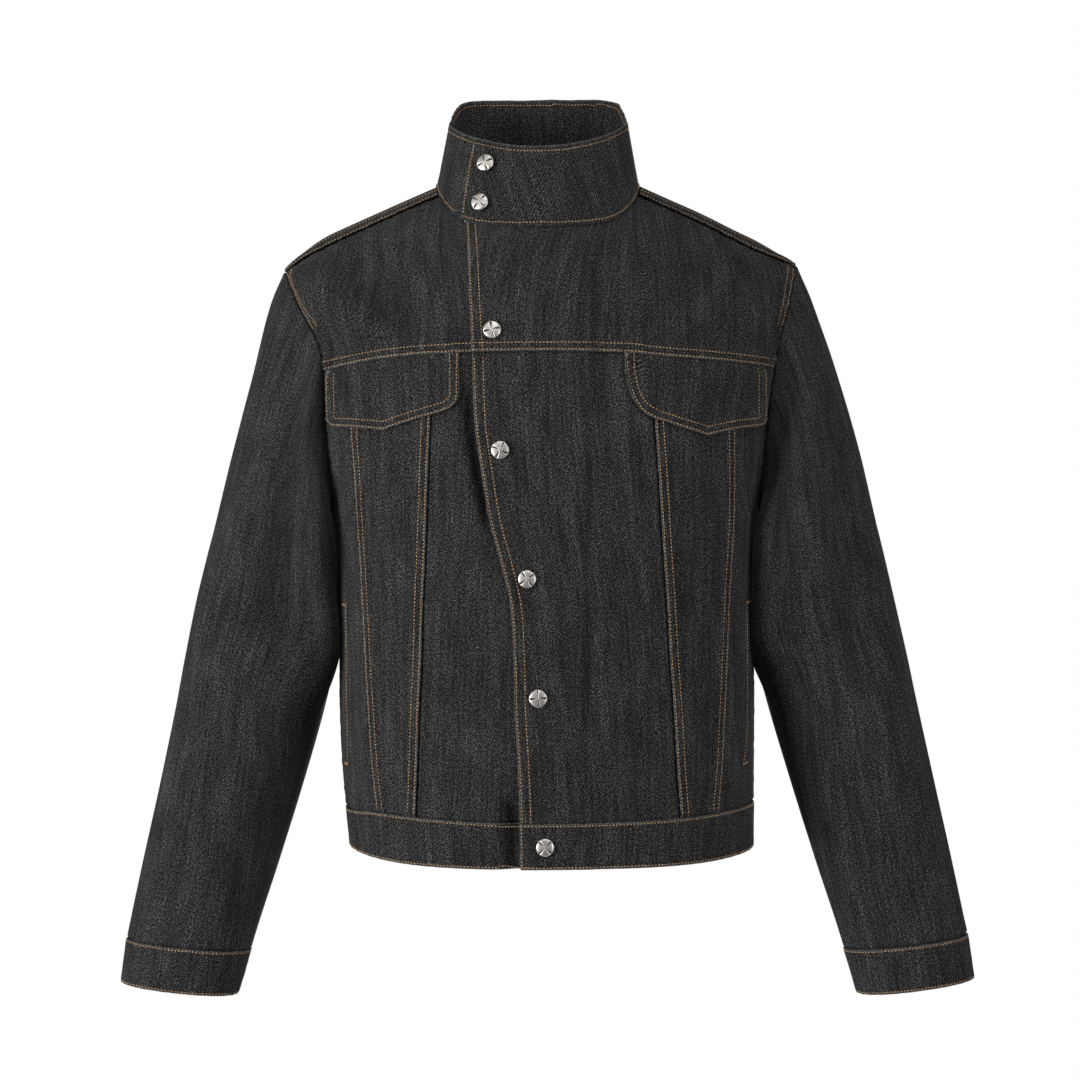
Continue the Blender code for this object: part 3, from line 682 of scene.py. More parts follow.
def skin(x, z, out=0.0):
    """Point of the front's form, moved outward along its normal."""
    y = torso_y(x, z, -1)
    if not out:
        return Vector((lean(x, z), y, z))
    d = 0.002
    along_x = (torso_y(x + d, z, -1) - torso_y(x - d, z, -1)) / (2 * d)
    along_z = (torso_y(x, z + d, -1) - torso_y(x, z - d, -1)) / (2 * d)
    return Vector((lean(x, z), y, z)) + Vector((along_x, -1.0, along_z)).normalized() * out


def lap_out(x, z):
    """How far the lapping front is lifted by the front that lies under it."""
    past = x - read(FRONT_SEAMS, "under", z)
    return (CLOTH + LAP_LAY) * (1 - ease((past - 0.002) / 0.018))


def panel_place(left_edge, right_edge, lapping=False):
    def place(u, v):
        z = mix(HEM, CHEST, v)
        for _ in range(2):
            x = mix(left_edge(z) + SEAM / 2, right_edge(z) - SEAM / 2, u)
            z = mix(band_top(x) + SEAM / 2, yoke_line(x) - SEAM / 2, v)
        x = mix(left_edge(z) + SEAM / 2, right_edge(z) - SEAM / 2, u)
        return skin(x, z, lap_out(x, z) if lapping else 0.0)
    return place


def side_place(side):
    def place(u, v):
        reach = u if side > 0 else 1 - u
        z = mix(HEM, CHEST, v)
        for _ in range(3):
            start = turn_of(read(FRONT_SEAMS, SIDE_WORD[side], z) + SEAM / 2, z)
            turn = mix(start, hole_turn(z, SIDE_WORD[side]), reach)
            x, y = round_body(turn, z, -1)
            z = mix(band_top(x * side) + SEAM / 2, yoke_line(x * side) - SEAM / 2, v)
        x, y = round_body(turn, z, -1)
        return Vector((lean(x * side, z), y, z))
    return place


def seam_at(column, side):
    return lambda z: side * read(FRONT_SEAMS, column, z)


CENTRE_FOLDS = (                                   # on the wearer's right, beside the lap
    Crease(-0.0600, -0.190, -0.0570, -0.240, 0.0062, -0.0075),
    Crease(-0.0565, -0.238, -0.0460, -0.292, 0.0060, -0.0085),
    Crease(-0.0290, -0.528, -0.0245, -0.565, 0.0110, -0.0105),
    Crease(-0.0960, -0.405, -0.0430, -0.394, 0.0070, -0.0012),
    Crease(-0.0850, -0.300, -0.0700, -0.470, 0.0120, 0.0012),
    Crease(-0.1000, -0.430, -0.0600, -0.500, 0.0110, -0.0010),
)
LAP_FOLDS = (                                      # on the lapping front
    Crease(0.0560, -0.150, 0.0590, -0.215, 0.0080, -0.0022),
    Crease(0.0520, -0.250, 0.0300, -0.350, 0.0120, -0.0018),
    Crease(0.0370, -0.385, 0.0330, -0.470, 0.0100, -0.0045),
    Crease(0.0000, -0.170, 0.0100, -0.300, 0.0160, 0.0012),
    Crease(0.0560, -0.420, 0.0500, -0.540, 0.0120, 0.0010),
    Crease(0.0720, -0.260, 0.0800, -0.400, 0.0130, 0.0009),
)
Button = namedtuple("Button", "word x z turn")
FRONT_BUTTONS = (
    Button("yoke", -0.0411, -0.1332, 0.20),
    Button("chest", -0.0356, -0.2341, 1.10),
    Button("waist", -0.0145, -0.3423, 0.60),
    Button("low", -0.0066, -0.4427, 0.05),
    Button("band", -0.0023, -0.5665, 0.80),
)


def held_down(x, z):
    """0 at a button, which holds both fronts together, and 1 away from it."""
    return 1 - max(bump(sqrt((x - one.x) ** 2 + (z - one.z) ** 2), 0.017) for one in FRONT_BUTTONS)


LAP_ROWS = (0.0020, 0.0091)


def lap_edge(at):
    """The lapping edge: two rows of stitches, and it stands off a little between buttons."""
    free = 0.0026 * bump(at.left, 0.013) * (bump(at.z + 0.288, 0.034) + 0.5 * bump(at.z + 0.195, 0.03)
                                            + 0.5 * bump(at.z + 0.520, 0.022))
    return (free + 0.0008 * (1 - ease((at.left - 0.010) / 0.004)) - 0.00035 * needled(at.left, LAP_ROWS)
            - 0.0006 * rolled(at.left, 0.0009))


def under_step(at):
    """The hidden edge of the under front shows through as a low step."""
    past = at.x - read(FRONT_SEAMS, "under", at.z)
    sharp, soft = 1 - ease((past + 0.0010) / 0.0040), 1 - ease((past - 0.002) / 0.018)
    return (CLOTH + LAP_LAY) * (sharp - soft) * 0.85 - 0.0006 * bump(past - 0.0025, 0.0012)


def centre_left_relief(at):
    return (lap_edge(at) + under_step(at) + tucked(at.right) + 0.5 * tucked(at.low) + tucked(at.high)
            + creases(LAP_FOLDS, at.x, at.z) * held_down(at.x, at.z)
            - 0.0004 * (1 - held_down(at.x, at.z))
            + puckers(at.z, at.left, 0.4) * 0.7 + puckers(at.z, at.right, 1.9) + puckers(at.x, at.high, 3.1)
            + puckers(at.x, at.low, 2.6))


def centre_right_relief(at):
    return (tucked(at.left) + tucked(at.low) + tucked(at.high) + creases(CENTRE_FOLDS, at.x, at.z)
            + puckers(at.z, at.left, 2.8) + puckers(at.x, at.high, 0.6) + puckers(at.x, at.low, 1.1))


def middle_relief(seed):
    def relief(at):
        return (felled(at.left) + felled(at.right) + tucked(at.low) + tucked(at.high)
                + puckers(at.z, at.left, seed) + puckers(at.z, at.right, seed + 1.7)
                + puckers(at.x, at.low, seed + 0.5))
    return relief


SIDE_FOLDS = (
    Crease(0.1700, -0.330, 0.1560, -0.440, 0.0080, -0.0018),
    Crease(0.1640, -0.470, 0.1600, -0.540, 0.0070, 0.0012),
    Crease(-0.1690, -0.310, -0.1570, -0.400, 0.0080, -0.0016),
    Crease(-0.1640, -0.440, -0.1680, -0.540, 0.0080, -0.0014),
)


def side_relief(side, seed):
    def relief(at):
        seam, edge = (at.left, at.right) if side > 0 else (at.right, at.left)
        return (tucked(seam) + 0.45 * felled(edge) + tucked(at.low) + tucked(at.high)
                + creases(SIDE_FOLDS, at.x, at.z) * ease(edge / 0.01)
                + puckers(at.z, seam, seed) + puckers(at.z, edge, seed + 1.0))
    return relief


centre_left_place = panel_place(seam_at("lap", 1), seam_at("inner", 1), True)
centre_right_place = panel_place(seam_at("inner", -1), seam_at("under", 1))
centre_left = lay_cloth("centre_panel_left", [
    Patch(centre_left_place, SEWN, TUCKED, TUCKED, TUCKED, 0.0027, centre_left_relief)],
    CLOTH, grain=(0.03, 0.31), folded=("left",))
centre_right = lay_cloth("centre_panel_right", [
    Patch(centre_right_place, TUCKED, PLAIN, TUCKED, TUCKED, 0.0027, centre_right_relief)],
    CLOTH, grain=(0.42, 0.12), folded=())
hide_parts("front_centre_left")
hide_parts("front_centre_right")
centre_thread = topstitch("lap_topstitching", "centre_panel_left",
                          [beside(centre_left_place, "left", away) for away in LAP_ROWS])

for side, word, seed in ((1, "left", 0.9), (-1, "right", 2.4)):
    if side > 0:
        middle_place = panel_place(seam_at("inner", 1), seam_at("left", 1))
    else:
        middle_place = panel_place(seam_at("right", -1), seam_at("inner", -1))
    middle = lay_cloth("middle_panel_" + word, [
        Patch(middle_place, SEWN, SEWN, TUCKED, TUCKED, 0.0027, middle_relief(seed))],
        CLOTH, grain=(0.21 * seed, 0.17 * seed), folded=("left", "right"))
    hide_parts("front_middle_" + word)
    middle_thread = topstitch("middle_topstitching_" + word, "middle_panel_" + word,
                              [beside(middle_place, edge, away) for edge in ("left", "right")
                               for away in TWIN_ROWS])

# The side panels hold the hand pockets in the side seam: one row of stitches beside the
# opening, closed at both ends with a short bar tack.
for side, word, seed in ((1, "left", 1.6), (-1, "right", 3.3)):
    place = side_place(side)
    near, far = (TUCKED, SEWN) if side > 0 else (SEWN, TUCKED)
    panel = lay_cloth("side_panel_" + word, [
        Patch(place, near, far, TUCKED, TUCKED, 0.0030, side_relief(side, seed))],
        CLOTH, grain=(0.33 * seed, 0.09 * seed), folded=("right" if side > 0 else "left",))
    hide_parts("front_side_" + word)
    top, bottom = (-0.3660, -0.5050) if side > 0 else (-0.3640, -0.5020)
    slit = []
    for n in range(61):
        z = mix(top, bottom, n / 60)
        if side > 0:
            x = mix(0.1741, 0.1726, n / 60) - 0.0050 * (n / 60) ** 9
        else:
            x = mix(0.1722, 0.1735, n / 60)
        bulge = (1 - (x / read(TORSO, "half", z)) ** ROUNDNESS) ** (1 / ROUNDNESS)
        slit.append(Vector((x * side, -read(TORSO, "front", z) * bulge, z)))
    tacks = []
    for end in (slit[0], slit[-1]):
        for n in range(3):
            rise = Vector((0.0, 0.0, 0.0005 * (n - 1)))
            tacks.append([end + rise, end + rise + Vector((0.0024 * side, 0.011, 0.0008))])
    pocket_rows = topstitch("pocket_topstitching_" + word, "side_panel_" + word, [slit])
    pocket_tacks = topstitch("pocket_tacks_" + word, "side_panel_" + word, tacks, pitch=0.0022)


# ---------------------------------------------------------------- front yokes
# Two yokes close the chest above a straight seam and are felled down over the panels
# with two rows of stitches; the left one carries the lap up to the collar.


def neck_angle(x):
    return copysign(asin((abs(x) / NECK_HALF) ** (1 / NECK_SQUARE)), x)


def yoke_place(side):
    lapping, column = side > 0, SIDE_WORD[side]
    neck_share = 9 / 17 if lapping else 8 / 16
    start = -abs(read(FRONT_SEAMS, "lap" if lapping else "under", -0.036))
    x_neck = NECK_HALF * sin(SHOULDER_END) ** NECK_SQUARE
    x_end = seam_ends[side]

    def top(u):
        share = u / neck_share
        if share < 1:
            x = mix(start, x_neck, share)
            return x, neck(neck_angle(x) * side)[1]
        x = mix(x_neck, x_end, (share - 1) * neck_share / (1 - neck_share))
        return x, shoulder_seam(x * side)

    def place(u, v):
        if side < 0:
            u = 1 - u
        if v > 1:
            v = 1 + (v - 1) * ease((u - neck_share) / 0.06)
        x_top, z_top = top(u)
        z_top -= SHOULDER_GAP
        edge_now = -0.0582 if lapping else -0.0435
        far = read(ARMHOLE, column, yoke_line(0.19)) - SEAM / 2
        x_low = mix(edge_now, far, u)
        z_low = yoke_line(x_low * side) + SEAM / 2
        z = mix(z_low, z_top, v)
        x = mix(x_low, x_top, v)
        z_far = mix(yoke_line(far * side), shoulder_seam(x_end * side), v)
        bow = read(ARMHOLE, column, z_far) - SEAM / 2 - mix(far, x_end, v)
        x += bow * ease((u - 0.5) / 0.5)
        if lapping:
            first = mix(edge_now, top(0.0)[0], v)
            x += (read(FRONT_SEAMS, "lap", z) - first) * (1 - ease(u / 0.3))
        return skin(x * side, z, lap_out(x * side, z) if lapping else 0.0)

    return place


YOKE_FOLDS = (
    Crease(-0.1640, -0.0600, -0.0850, -0.1330, 0.0220, -0.0080),
    Crease(-0.2090, -0.0720, -0.1250, -0.1450, 0.0190, 0.0150),
    Crease(-0.0900, -0.060, -0.0760, -0.110, 0.0120, -0.0012),
    Crease(0.1500, -0.090, 0.1050, -0.135, 0.0150, -0.0016),
    Crease(0.1960, -0.110, 0.1700, -0.146, 0.0100, 0.0014),
    Crease(0.0500, -0.060, 0.0450, -0.140, 0.0100, -0.0010),
    Crease(0.0100, -0.060, 0.0060, -0.120, 0.0160, 0.0010),
)


def yoke_relief(side, seed):
    def relief(at):
        arm, centre = (at.right, at.left) if side > 0 else (at.left, at.right)
        under_shoulder = ease((abs(at.x) - 0.078) / 0.006)
        rise = felled(at.low) + felled(arm) * ease(at.low / 0.004) + tucked(at.high) * under_shoulder
        folds = creases(YOKE_FOLDS, at.x, at.z) * held_down(at.x, at.z)
        rise += folds * ease(at.high / 0.02) * ease(arm / 0.012) * ease((at.low - 0.004) / 0.02)
        rise += puckers(at.x, at.low, seed) + puckers(at.z, arm, seed + 0.8)
        rise += puckers(at.x, at.high, seed + 2)
        if side > 0:
            rise += lap_edge(at) + under_step(at) - 0.0004 * (1 - held_down(at.x, at.z))
        return rise
    return relief


YOKE_TOP = (-0.0030, -0.0015, -0.0004, 0.0004, 0.0012, 0.0022, 0.0036, 0.0060)
YOKE_ROWS = (0.0018, 0.0075)
for side, word, seed in ((1, "left", 0.2), (-1, "right", 1.5)):
    place = yoke_place(side)
    yoke = lay_cloth("yoke_" + word, [
        Patch(place, SEWN, SEWN if side > 0 else PLAIN, SEWN, YOKE_TOP, 0.0027, yoke_relief(side, seed))],
        CLOTH, grain=(0.27 * seed, 0.51 * seed), folded=("low", "left") if side > 0 else ("low",))
    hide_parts("front_yoke_" + word)
    rows = [beside(place, "low", away) for away in YOKE_ROWS]
    for away in TWIN_ROWS:
        rows.append(beside(place, "right" if side > 0 else "left", away, 0.40, 0.99))
    if side > 0:
        rows += [beside(place, "left", away) for away in LAP_ROWS]
    yoke_thread = topstitch("yoke_topstitching_" + word, "yoke_" + word, rows)


# ---------------------------------------------------------------- chest pocket flaps
# Two-layer pointed flaps, turned, edged with two rows of stitches and caught in the
# yoke seam along their top.

Outline = namedtuple("Outline", "z side base")
RIGHT_FLAP = (                  # z: the way across, 0 at the centre side, -1 at the arm
    Outline(0.00, 0.0694, -0.1860),
    Outline(-0.03, 0.0712, -0.1925),
    Outline(-0.09, 0.0786, -0.1990),
    Outline(-0.30, 0.1030, -0.2060),
    Outline(-0.50, 0.1270, -0.2131),
    Outline(-0.55, 0.1333, -0.2152),
    Outline(-0.60, 0.1395, -0.2143),
    Outline(-0.78, 0.1600, -0.2117),
    Outline(-0.95, 0.1785, -0.2092),
    Outline(-1.00, 0.1832, -0.2040),
)
LEFT_FLAP = (
    Outline(0.00, 0.0700, -0.1690),
    Outline(-0.05, 0.0752, -0.1900),
    Outline(-0.14, 0.0862, -0.2048),
    Outline(-0.35, 0.1125, -0.2150),
    Outline(-0.50, 0.1325, -0.2212),
    Outline(-0.545, 0.1386, -0.2232),
    Outline(-0.60, 0.1452, -0.2214),
    Outline(-0.78, 0.1665, -0.2168),
    Outline(-0.96, 0.1873, -0.2133),
    Outline(-1.00, 0.1914, -0.2085),
)


def flap_place(outline, side):
    def place(u, v):
        across = u if side > 0 else 1 - u
        x = read(outline, "side", -across) * side
        z = mix(read(outline, "base", -across), yoke_line(x) - SEAM, v)
        return skin(x, z, DOUBLED + LAY)
    return place


def flap_relief(seed):
    def relief(at):
        edge = min(at.left, at.right, at.low)
        rim = 0.0010 * (1 - ease((edge - 0.0080) / 0.0036)) - 0.0007 * rolled(edge, 0.0010)
        sunk = -0.0024 * (1 - ease(at.high / 0.007))
        return rim - 0.00035 * needled(edge) + sunk + puckers(at.x + at.z, edge, seed) * 0.8
    return relief


def inset(outline, side, away):
    """The flap's outline, from its top round to its top, moved in by one distance."""
    edge = [(read(outline, "side", -k / 80), read(outline, "base", -k / 80)) for k in range(81)]
    tops = [(edge[0][0], yoke_line(edge[0][0] * side)), (edge[-1][0], yoke_line(edge[-1][0] * side))]
    loop = [(edge[0][0], mix(tops[0][1], edge[0][1], k / 12)) for k in range(12)] + edge
    loop += [(edge[-1][0], mix(edge[-1][1], tops[1][1], k / 12)) for k in range(1, 13)]
    moved = []
    for k, (x, z) in enumerate(loop):
        a, b = loop[max(0, k - 1)], loop[min(len(loop) - 1, k + 1)]
        across, down = b[0] - a[0], b[1] - a[1]
        size = sqrt(across * across + down * down)
        moved.append((x - down / size * away, z + across / size * away))
    kept = [p for p in moved
            if all((p[0] - q[0]) ** 2 + (p[1] - q[1]) ** 2 > (away * 0.985) ** 2 for q in loop)]
    return [skin(x * side, z, DOUBLED + LAY) for x, z in kept]


FLAP_TOP = (-0.0030, -0.0012, 0.0, 0.0012, 0.0028, 0.0050)
for side, word, outline, seed in ((1, "left", LEFT_FLAP, 0.5), (-1, "right", RIGHT_FLAP, 2.9)):
    place = flap_place(outline, side)
    flap = lay_cloth("pocket_flap_" + word, [
        Patch(place, SEWN, SEWN, SEWN, FLAP_TOP, 0.0026, flap_relief(seed))],
        DOUBLED, grain=(0.19 * seed, 0.44 * seed), inner=0, folded=("left", "right", "low"))
    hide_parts("flap_" + word)
    flap_thread = topstitch("flap_topstitching_" + word, "pocket_flap_" + word,
                            [inset(outline, side, away) for away in TWIN_ROWS])


# ---------------------------------------------------------------- waistband
# One band folded double round the hem, with one row of stitches along each edge and
# across the end that laps over.


def band_point(angle, rise, out):
    s, c = sin(angle), cos(angle)
    shape = 2 / ROUNDNESS
    hem = -0.5865 + 0.0080 * s ** 4 - 0.0012 * s + 0.0035 * max(0.0, -s) ** 1.5
    top = HEM_HALF * power(s if c > 0 else abs(s), shape)
    z = mix(hem, band_top(top), rise)
    half, deep = read(TORSO, "half", z), read(TORSO, "front" if c > 0 else "back", z)
    grow = out + 0.0006
    x = (half + grow) * power(s, shape)
    return Vector((lean(x, z), -(deep + grow) * power(c, shape), z - 0.0002))


def band_turn(x, half=0.1735):
    """Angle round the waistband at a distance from the front centre."""
    return asin((x / half) ** (ROUNDNESS / 2))


BAND_LAP, BAND_UNDER = -band_turn(0.0226), band_turn(0.0270)


def band_place(u, v):
    angle = mix(BAND_LAP, tau + BAND_UNDER, u)
    return band_point(angle, v, (DOUBLED + LAY) * (1 - ease((angle - BAND_UNDER - 0.007) / 0.084)))


EDGE_ROW = 0.0019       # one row of stitches, from a folded edge


def folded_edge(d, row=EDGE_ROW):
    """A fold with one row of stitches a little inside it."""
    return -0.0007 * rolled(d, 0.0012) - 0.0004 * bump(d - row, 0.0008)


def swell(v):
    """1 half way up a band and 0 at its edges."""
    return sin(pi * min(1, max(0, v)))


def band_relief(at):
    rise = folded_edge(at.low) + folded_edge(at.high) + folded_edge(at.left)
    rise += puckers(at.left, at.low, 0.8) + puckers(at.left, at.high, 1.7)
    ripple = sin(at.left * tau / 0.031 + 1.0) * sin(at.left * tau / 0.083)
    rise += 0.0005 * ripple * swell(at.v)
    rise -= 0.0100 * bump(at.right - 0.053, 0.012) * ease(at.right / 0.05)
    return rise


ONE_ROW = (0.0, 0.0004, 0.0009, 0.0014, 0.0019, 0.0024, 0.0030, 0.0042, 0.0058)
band = lay_cloth("waist_band", [Patch(band_place, ONE_ROW, PLAIN, ONE_ROW, ONE_ROW, 0.0031, band_relief)],
                 DOUBLED, grain=(0.0, 0.77), inner=0, folded=("left", "low", "high"))
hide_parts("waistband")
band_thread = topstitch("band_topstitching", "waist_band", [
    beside(band_place, "low", EDGE_ROW, count=400), beside(band_place, "high", EDGE_ROW, count=400),
    beside(band_place, "left", EDGE_ROW, 0.06, 0.94, 20)])


# ---------------------------------------------------------------- collar
# A tall two-layer funnel. It is sewn to the neck and laps over itself on the wearer's
# right, edged with one row of stitches that shows inside the back too.

COLLAR_LAP, COLLAR_UNDER = radians(-43.0), radians(24.0)
LIP_ROW = 0.0050        # stitches below the collar's top


def collar_point(angle, rise):
    x, z, face = neck(angle)
    s, c = sin(angle), cos(angle)
    base = Vector((x - 0.0020 * max(0.0, s) ** 2, torso_y(x, z, face), z + 0.0013))
    square = 5.0 if s > 0 else 3.4
    shape = 2 / (2.1 if c > 0 else 2.1 + square * ease(-c))
    y = -0.005 - 0.061 * power(c, shape)
    lip = 0.0551 - 0.0274 * c ** 1.5 if c > 0 else 0.0551 + 0.0305 * abs(c) ** shape + 0.0018 * s * c
    top = Vector((0.0780 * power(s, shape), y, lip))
    return base.lerp(top, rise)


def collar_skin(angle, rise, out):
    d = 0.01
    round_way = collar_point(angle + d, rise) - collar_point(angle - d, rise)
    up_way = collar_point(angle, rise + d) - collar_point(angle, rise - d)
    return collar_point(angle, rise) + round_way.cross(up_way).normalized() * out


def collar_out(angle, rise):
    lift = (DOUBLED + LAY) * (1 - ease((angle - COLLAR_UNDER - 0.03) / 0.35))
    return lift + 0.0004 + 0.0024 * sin(pi * rise) * max(0.0, cos(angle))


def collar_place(u, v):
    angle = mix(COLLAR_LAP, tau + COLLAR_UNDER, u)
    from_back = (angle - pi) / (pi / 2)
    if abs(from_back) < 1:                         # even steps round the nearly flat back
        angle = pi + from_back ** 3 * pi / 2
    return collar_skin(angle, v, collar_out(angle, max(0.0, min(1.0, v))))


COLLAR_DENTS = (                                   # x0..x1: round the collar; z: up it
    Crease(0.0220, 0.052, 0.0330, 0.036, 0.0060, -0.0024),
    Crease(0.0150, 0.022, 0.0260, 0.010, 0.0060, -0.0020),
    Crease(0.0400, 0.010, 0.0440, 0.040, 0.0080, 0.0008),
    Crease(0.062, 0.006, 0.052, 0.050, 0.0110, 0.0010),
    Crease(0.105, 0.008, 0.125, 0.040, 0.0100, -0.0010),
    Crease(0.150, 0.015, 0.150, 0.060, 0.0070, -0.0013),
    Crease(0.235, 0.020, 0.238, 0.085, 0.0060, 0.0026),
    Crease(0.258, 0.030, 0.256, 0.085, 0.0055, -0.0024),
    Crease(0.279, 0.020, 0.281, 0.085, 0.0060, 0.0024),
    Crease(0.300, 0.030, 0.298, 0.085, 0.0055, -0.0024),
    Crease(0.322, 0.020, 0.324, 0.085, 0.0060, 0.0022),
    Crease(0.405, 0.020, 0.410, 0.060, 0.0080, -0.0014),
)


def collar_relief(at):
    rise = folded_edge(at.high, LIP_ROW) * 0.8 + folded_edge(at.left)
    rise += 0.0008 * (1 - ease(at.low / 0.003)) - 0.0004 * bump(at.low - 0.0030, 0.0008)
    rise += creases(COLLAR_DENTS, at.left, at.low)
    return (rise + puckers(at.left, at.high, 0.9) + puckers(at.left, at.low, 2.0) * 1.3
            + puckers(at.low, at.left, 1.0))


COLLAR_BASE = (-0.0015, -0.0008, 0.0, 0.0008, 0.0016, 0.0023, 0.0030, 0.0037, 0.0050)
COLLAR_TOP = (0.0, 0.0004, 0.0009, 0.0016, 0.0026, 0.0036, 0.0044, 0.0050, 0.0056, 0.0064, 0.0078)
collar = lay_cloth("funnel_collar", [
    Patch(collar_place, ONE_ROW, PLAIN, COLLAR_BASE, COLLAR_TOP, 0.0026, collar_relief)],
    DOUBLED, grain=(0.61, 0.05), inner=0, folded=("left", "high"))
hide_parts("collar")
collar_rows = [beside(collar_place, "high", LIP_ROW, 0.004, 0.995, 260),
               beside(collar_place, "low", 0.0016, 0.004, 0.83, 260),
               beside(collar_place, "left", EDGE_ROW, 0.05, 0.93, 40)]
collar_thread = topstitch("collar_topstitching", "funnel_collar", collar_rows)
collar_inner_thread = topstitch("collar_inner_topstitching", "funnel_collar",
                                [beside(collar_place, "high", LIP_ROW, 0.20, 0.80, 200)], inside=DOUBLED)


# ---------------------------------------------------------------- sleeves
# Each sleeve is one panel closed under the arm, sewn in under the edge of the armhole
# and slipped into its cuff. They hang clear of the body and bend forward a little.

SLEEVE_ROUNDNESS = 2.2
LEFT_LONGER = 0.0060

Arm = namedtuple("Arm", "z outer inner lean")
SLEEVE_LINES = (
    Arm(-0.0700, 0.2240, 0.1865, 0.0000),
    Arm(-0.1000, 0.2370, 0.1865, 0.0005),
    Arm(-0.1660, 0.2567, 0.1865, 0.0023),
    Arm(-0.2360, 0.2760, 0.1865, 0.0023),
    Arm(-0.2920, 0.2893, 0.1865, 0.0013),
    Arm(-0.3000, 0.2912, 0.1888, 0.0011),
    Arm(-0.3200, 0.2963, 0.1888, 0.0007),
    Arm(-0.3600, 0.3058, 0.1872, 0.0000),
    Arm(-0.4150, 0.3175, 0.1862, 0.0000),
    Arm(-0.4500, 0.3243, 0.1938, 0.0000),
    Arm(-0.5200, 0.3390, 0.2139, -0.0005),
    Arm(-0.5900, 0.3543, 0.2356, -0.0014),
    Arm(-0.6600, 0.3688, 0.2577, -0.0022),
    Arm(-0.7050, 0.3770, 0.2700, -0.0022),
)

Girth = namedtuple("Girth", "z depth forward")
SLEEVE_DEPTHS = (
    Girth(0.00, 0.0560, 0.0000),
    Girth(-0.15, 0.0635, 0.0000),
    Girth(-0.35, 0.0665, 0.0000),
    Girth(-0.60, 0.0600, 0.0020),
    Girth(-0.80, 0.0510, 0.0060),
    Girth(-1.00, 0.0430, 0.0100),
)


def armhole(angle, side):
    """Armhole loop; 0 is the shoulder tip, 90 degrees the front, 180 the underarm."""
    z = mix(ARMHOLE_TOP, UNDERARM, (1 - cos(angle)) / 2)
    front = sin(angle) >= 0
    x = read(ARMHOLE, SIDE_WORD[side] if front else "back", z)
    return Vector((lean(x * side, z) * side, torso_y(x * side, z, -1 if front else 1), z))


def sleeve_ring(angle, way, side):
    """Round section of the sleeve at a share of the way down it; past 1 is the cuff."""
    longer = LEFT_LONGER * way if side > 0 else 0.0
    z_outer = mix(ARMHOLE_TOP, -0.6520, way) - longer
    z_inner = mix(UNDERARM, -0.6640, way ** 1.6 if way < 1 else 1 + (way - 1) * 1.6) - longer
    outer = Vector((read(SLEEVE_LINES, "outer", z_outer), 0.0, z_outer))
    inner = Vector((read(SLEEVE_LINES, "inner", z_inner), 0.0, z_inner))
    deep = read(SLEEVE_DEPTHS, "depth", -way)
    middle = (outer + inner) / 2 + Vector((0.0, -read(SLEEVE_DEPTHS, "forward", -way), 0.0))
    across = (outer - inner) / 2 * power(cos(angle), 2 / SLEEVE_ROUNDNESS)
    return middle + across + Vector((0.0, -deep * power(sin(angle), 2 / SLEEVE_ROUNDNESS), 0.0))


def beside_body(y, z, side):
    """How far the body's form reaches sideways at a depth on its front."""
    across = max(0.0, 1 - (abs(y) / read(TORSO, "front", z)) ** ROUNDNESS) ** (1 / ROUNDNESS)
    return lean(side * read(TORSO, "half", z) * across, z) * side


def sleeve_place(side):
    def place(u, v):
        way = 1 - v
        angle = tau * (0.5 - u) * side
        under = max(0.0, -way)
        way = max(0.0, way)
        front, inward = max(0.0, sin(angle)), max(0.0, -cos(angle))
        ring = sleeve_ring(angle, way, side)
        ring += (armhole(angle, side) - sleeve_ring(angle, 0.0, side)) * (1 - ease(way / 0.30))
        ring.y -= 0.004 * sin(pi * min(1.0, way / 0.45)) * front ** 2
        press = between(way, 0.0, 0.25, 0.44, 0.20)
        ring.x -= 0.040 * press * front * ease(front / 0.3) * ((1 - cos(angle)) / 2) ** 2
        if side < 0:
            brought = between(way, 0.12, 0.14, 0.50, 0.10)
            ring.y -= 0.017 * brought * inward ** 4 * sqrt(front)
        if inward > 0:
            short = beside_body(ring.y, ring.z, side) + 0.0016 * ease(way / 0.2) - ring.x
            ring.x += max(0.0, short) * ease(front / 0.12)
        turned = between(way, 0.42 if side > 0 else 0.50, 0.13, 0.86, 0.12)
        ring.y += 0.0095 * turned * inward ** 2
        start = (1 - way) ** 6 if way < 1 else 0.0
        ring += Vector((0.0010, 0.0008 * sin(angle), -0.0007 * cos(angle))) * start
        ring.x += side * read(SLEEVE_LINES, "lean", ring.z) * ease(way / 0.15) - under * 0.6
        return Vector((ring.x * side, ring.y, ring.z))
    return place


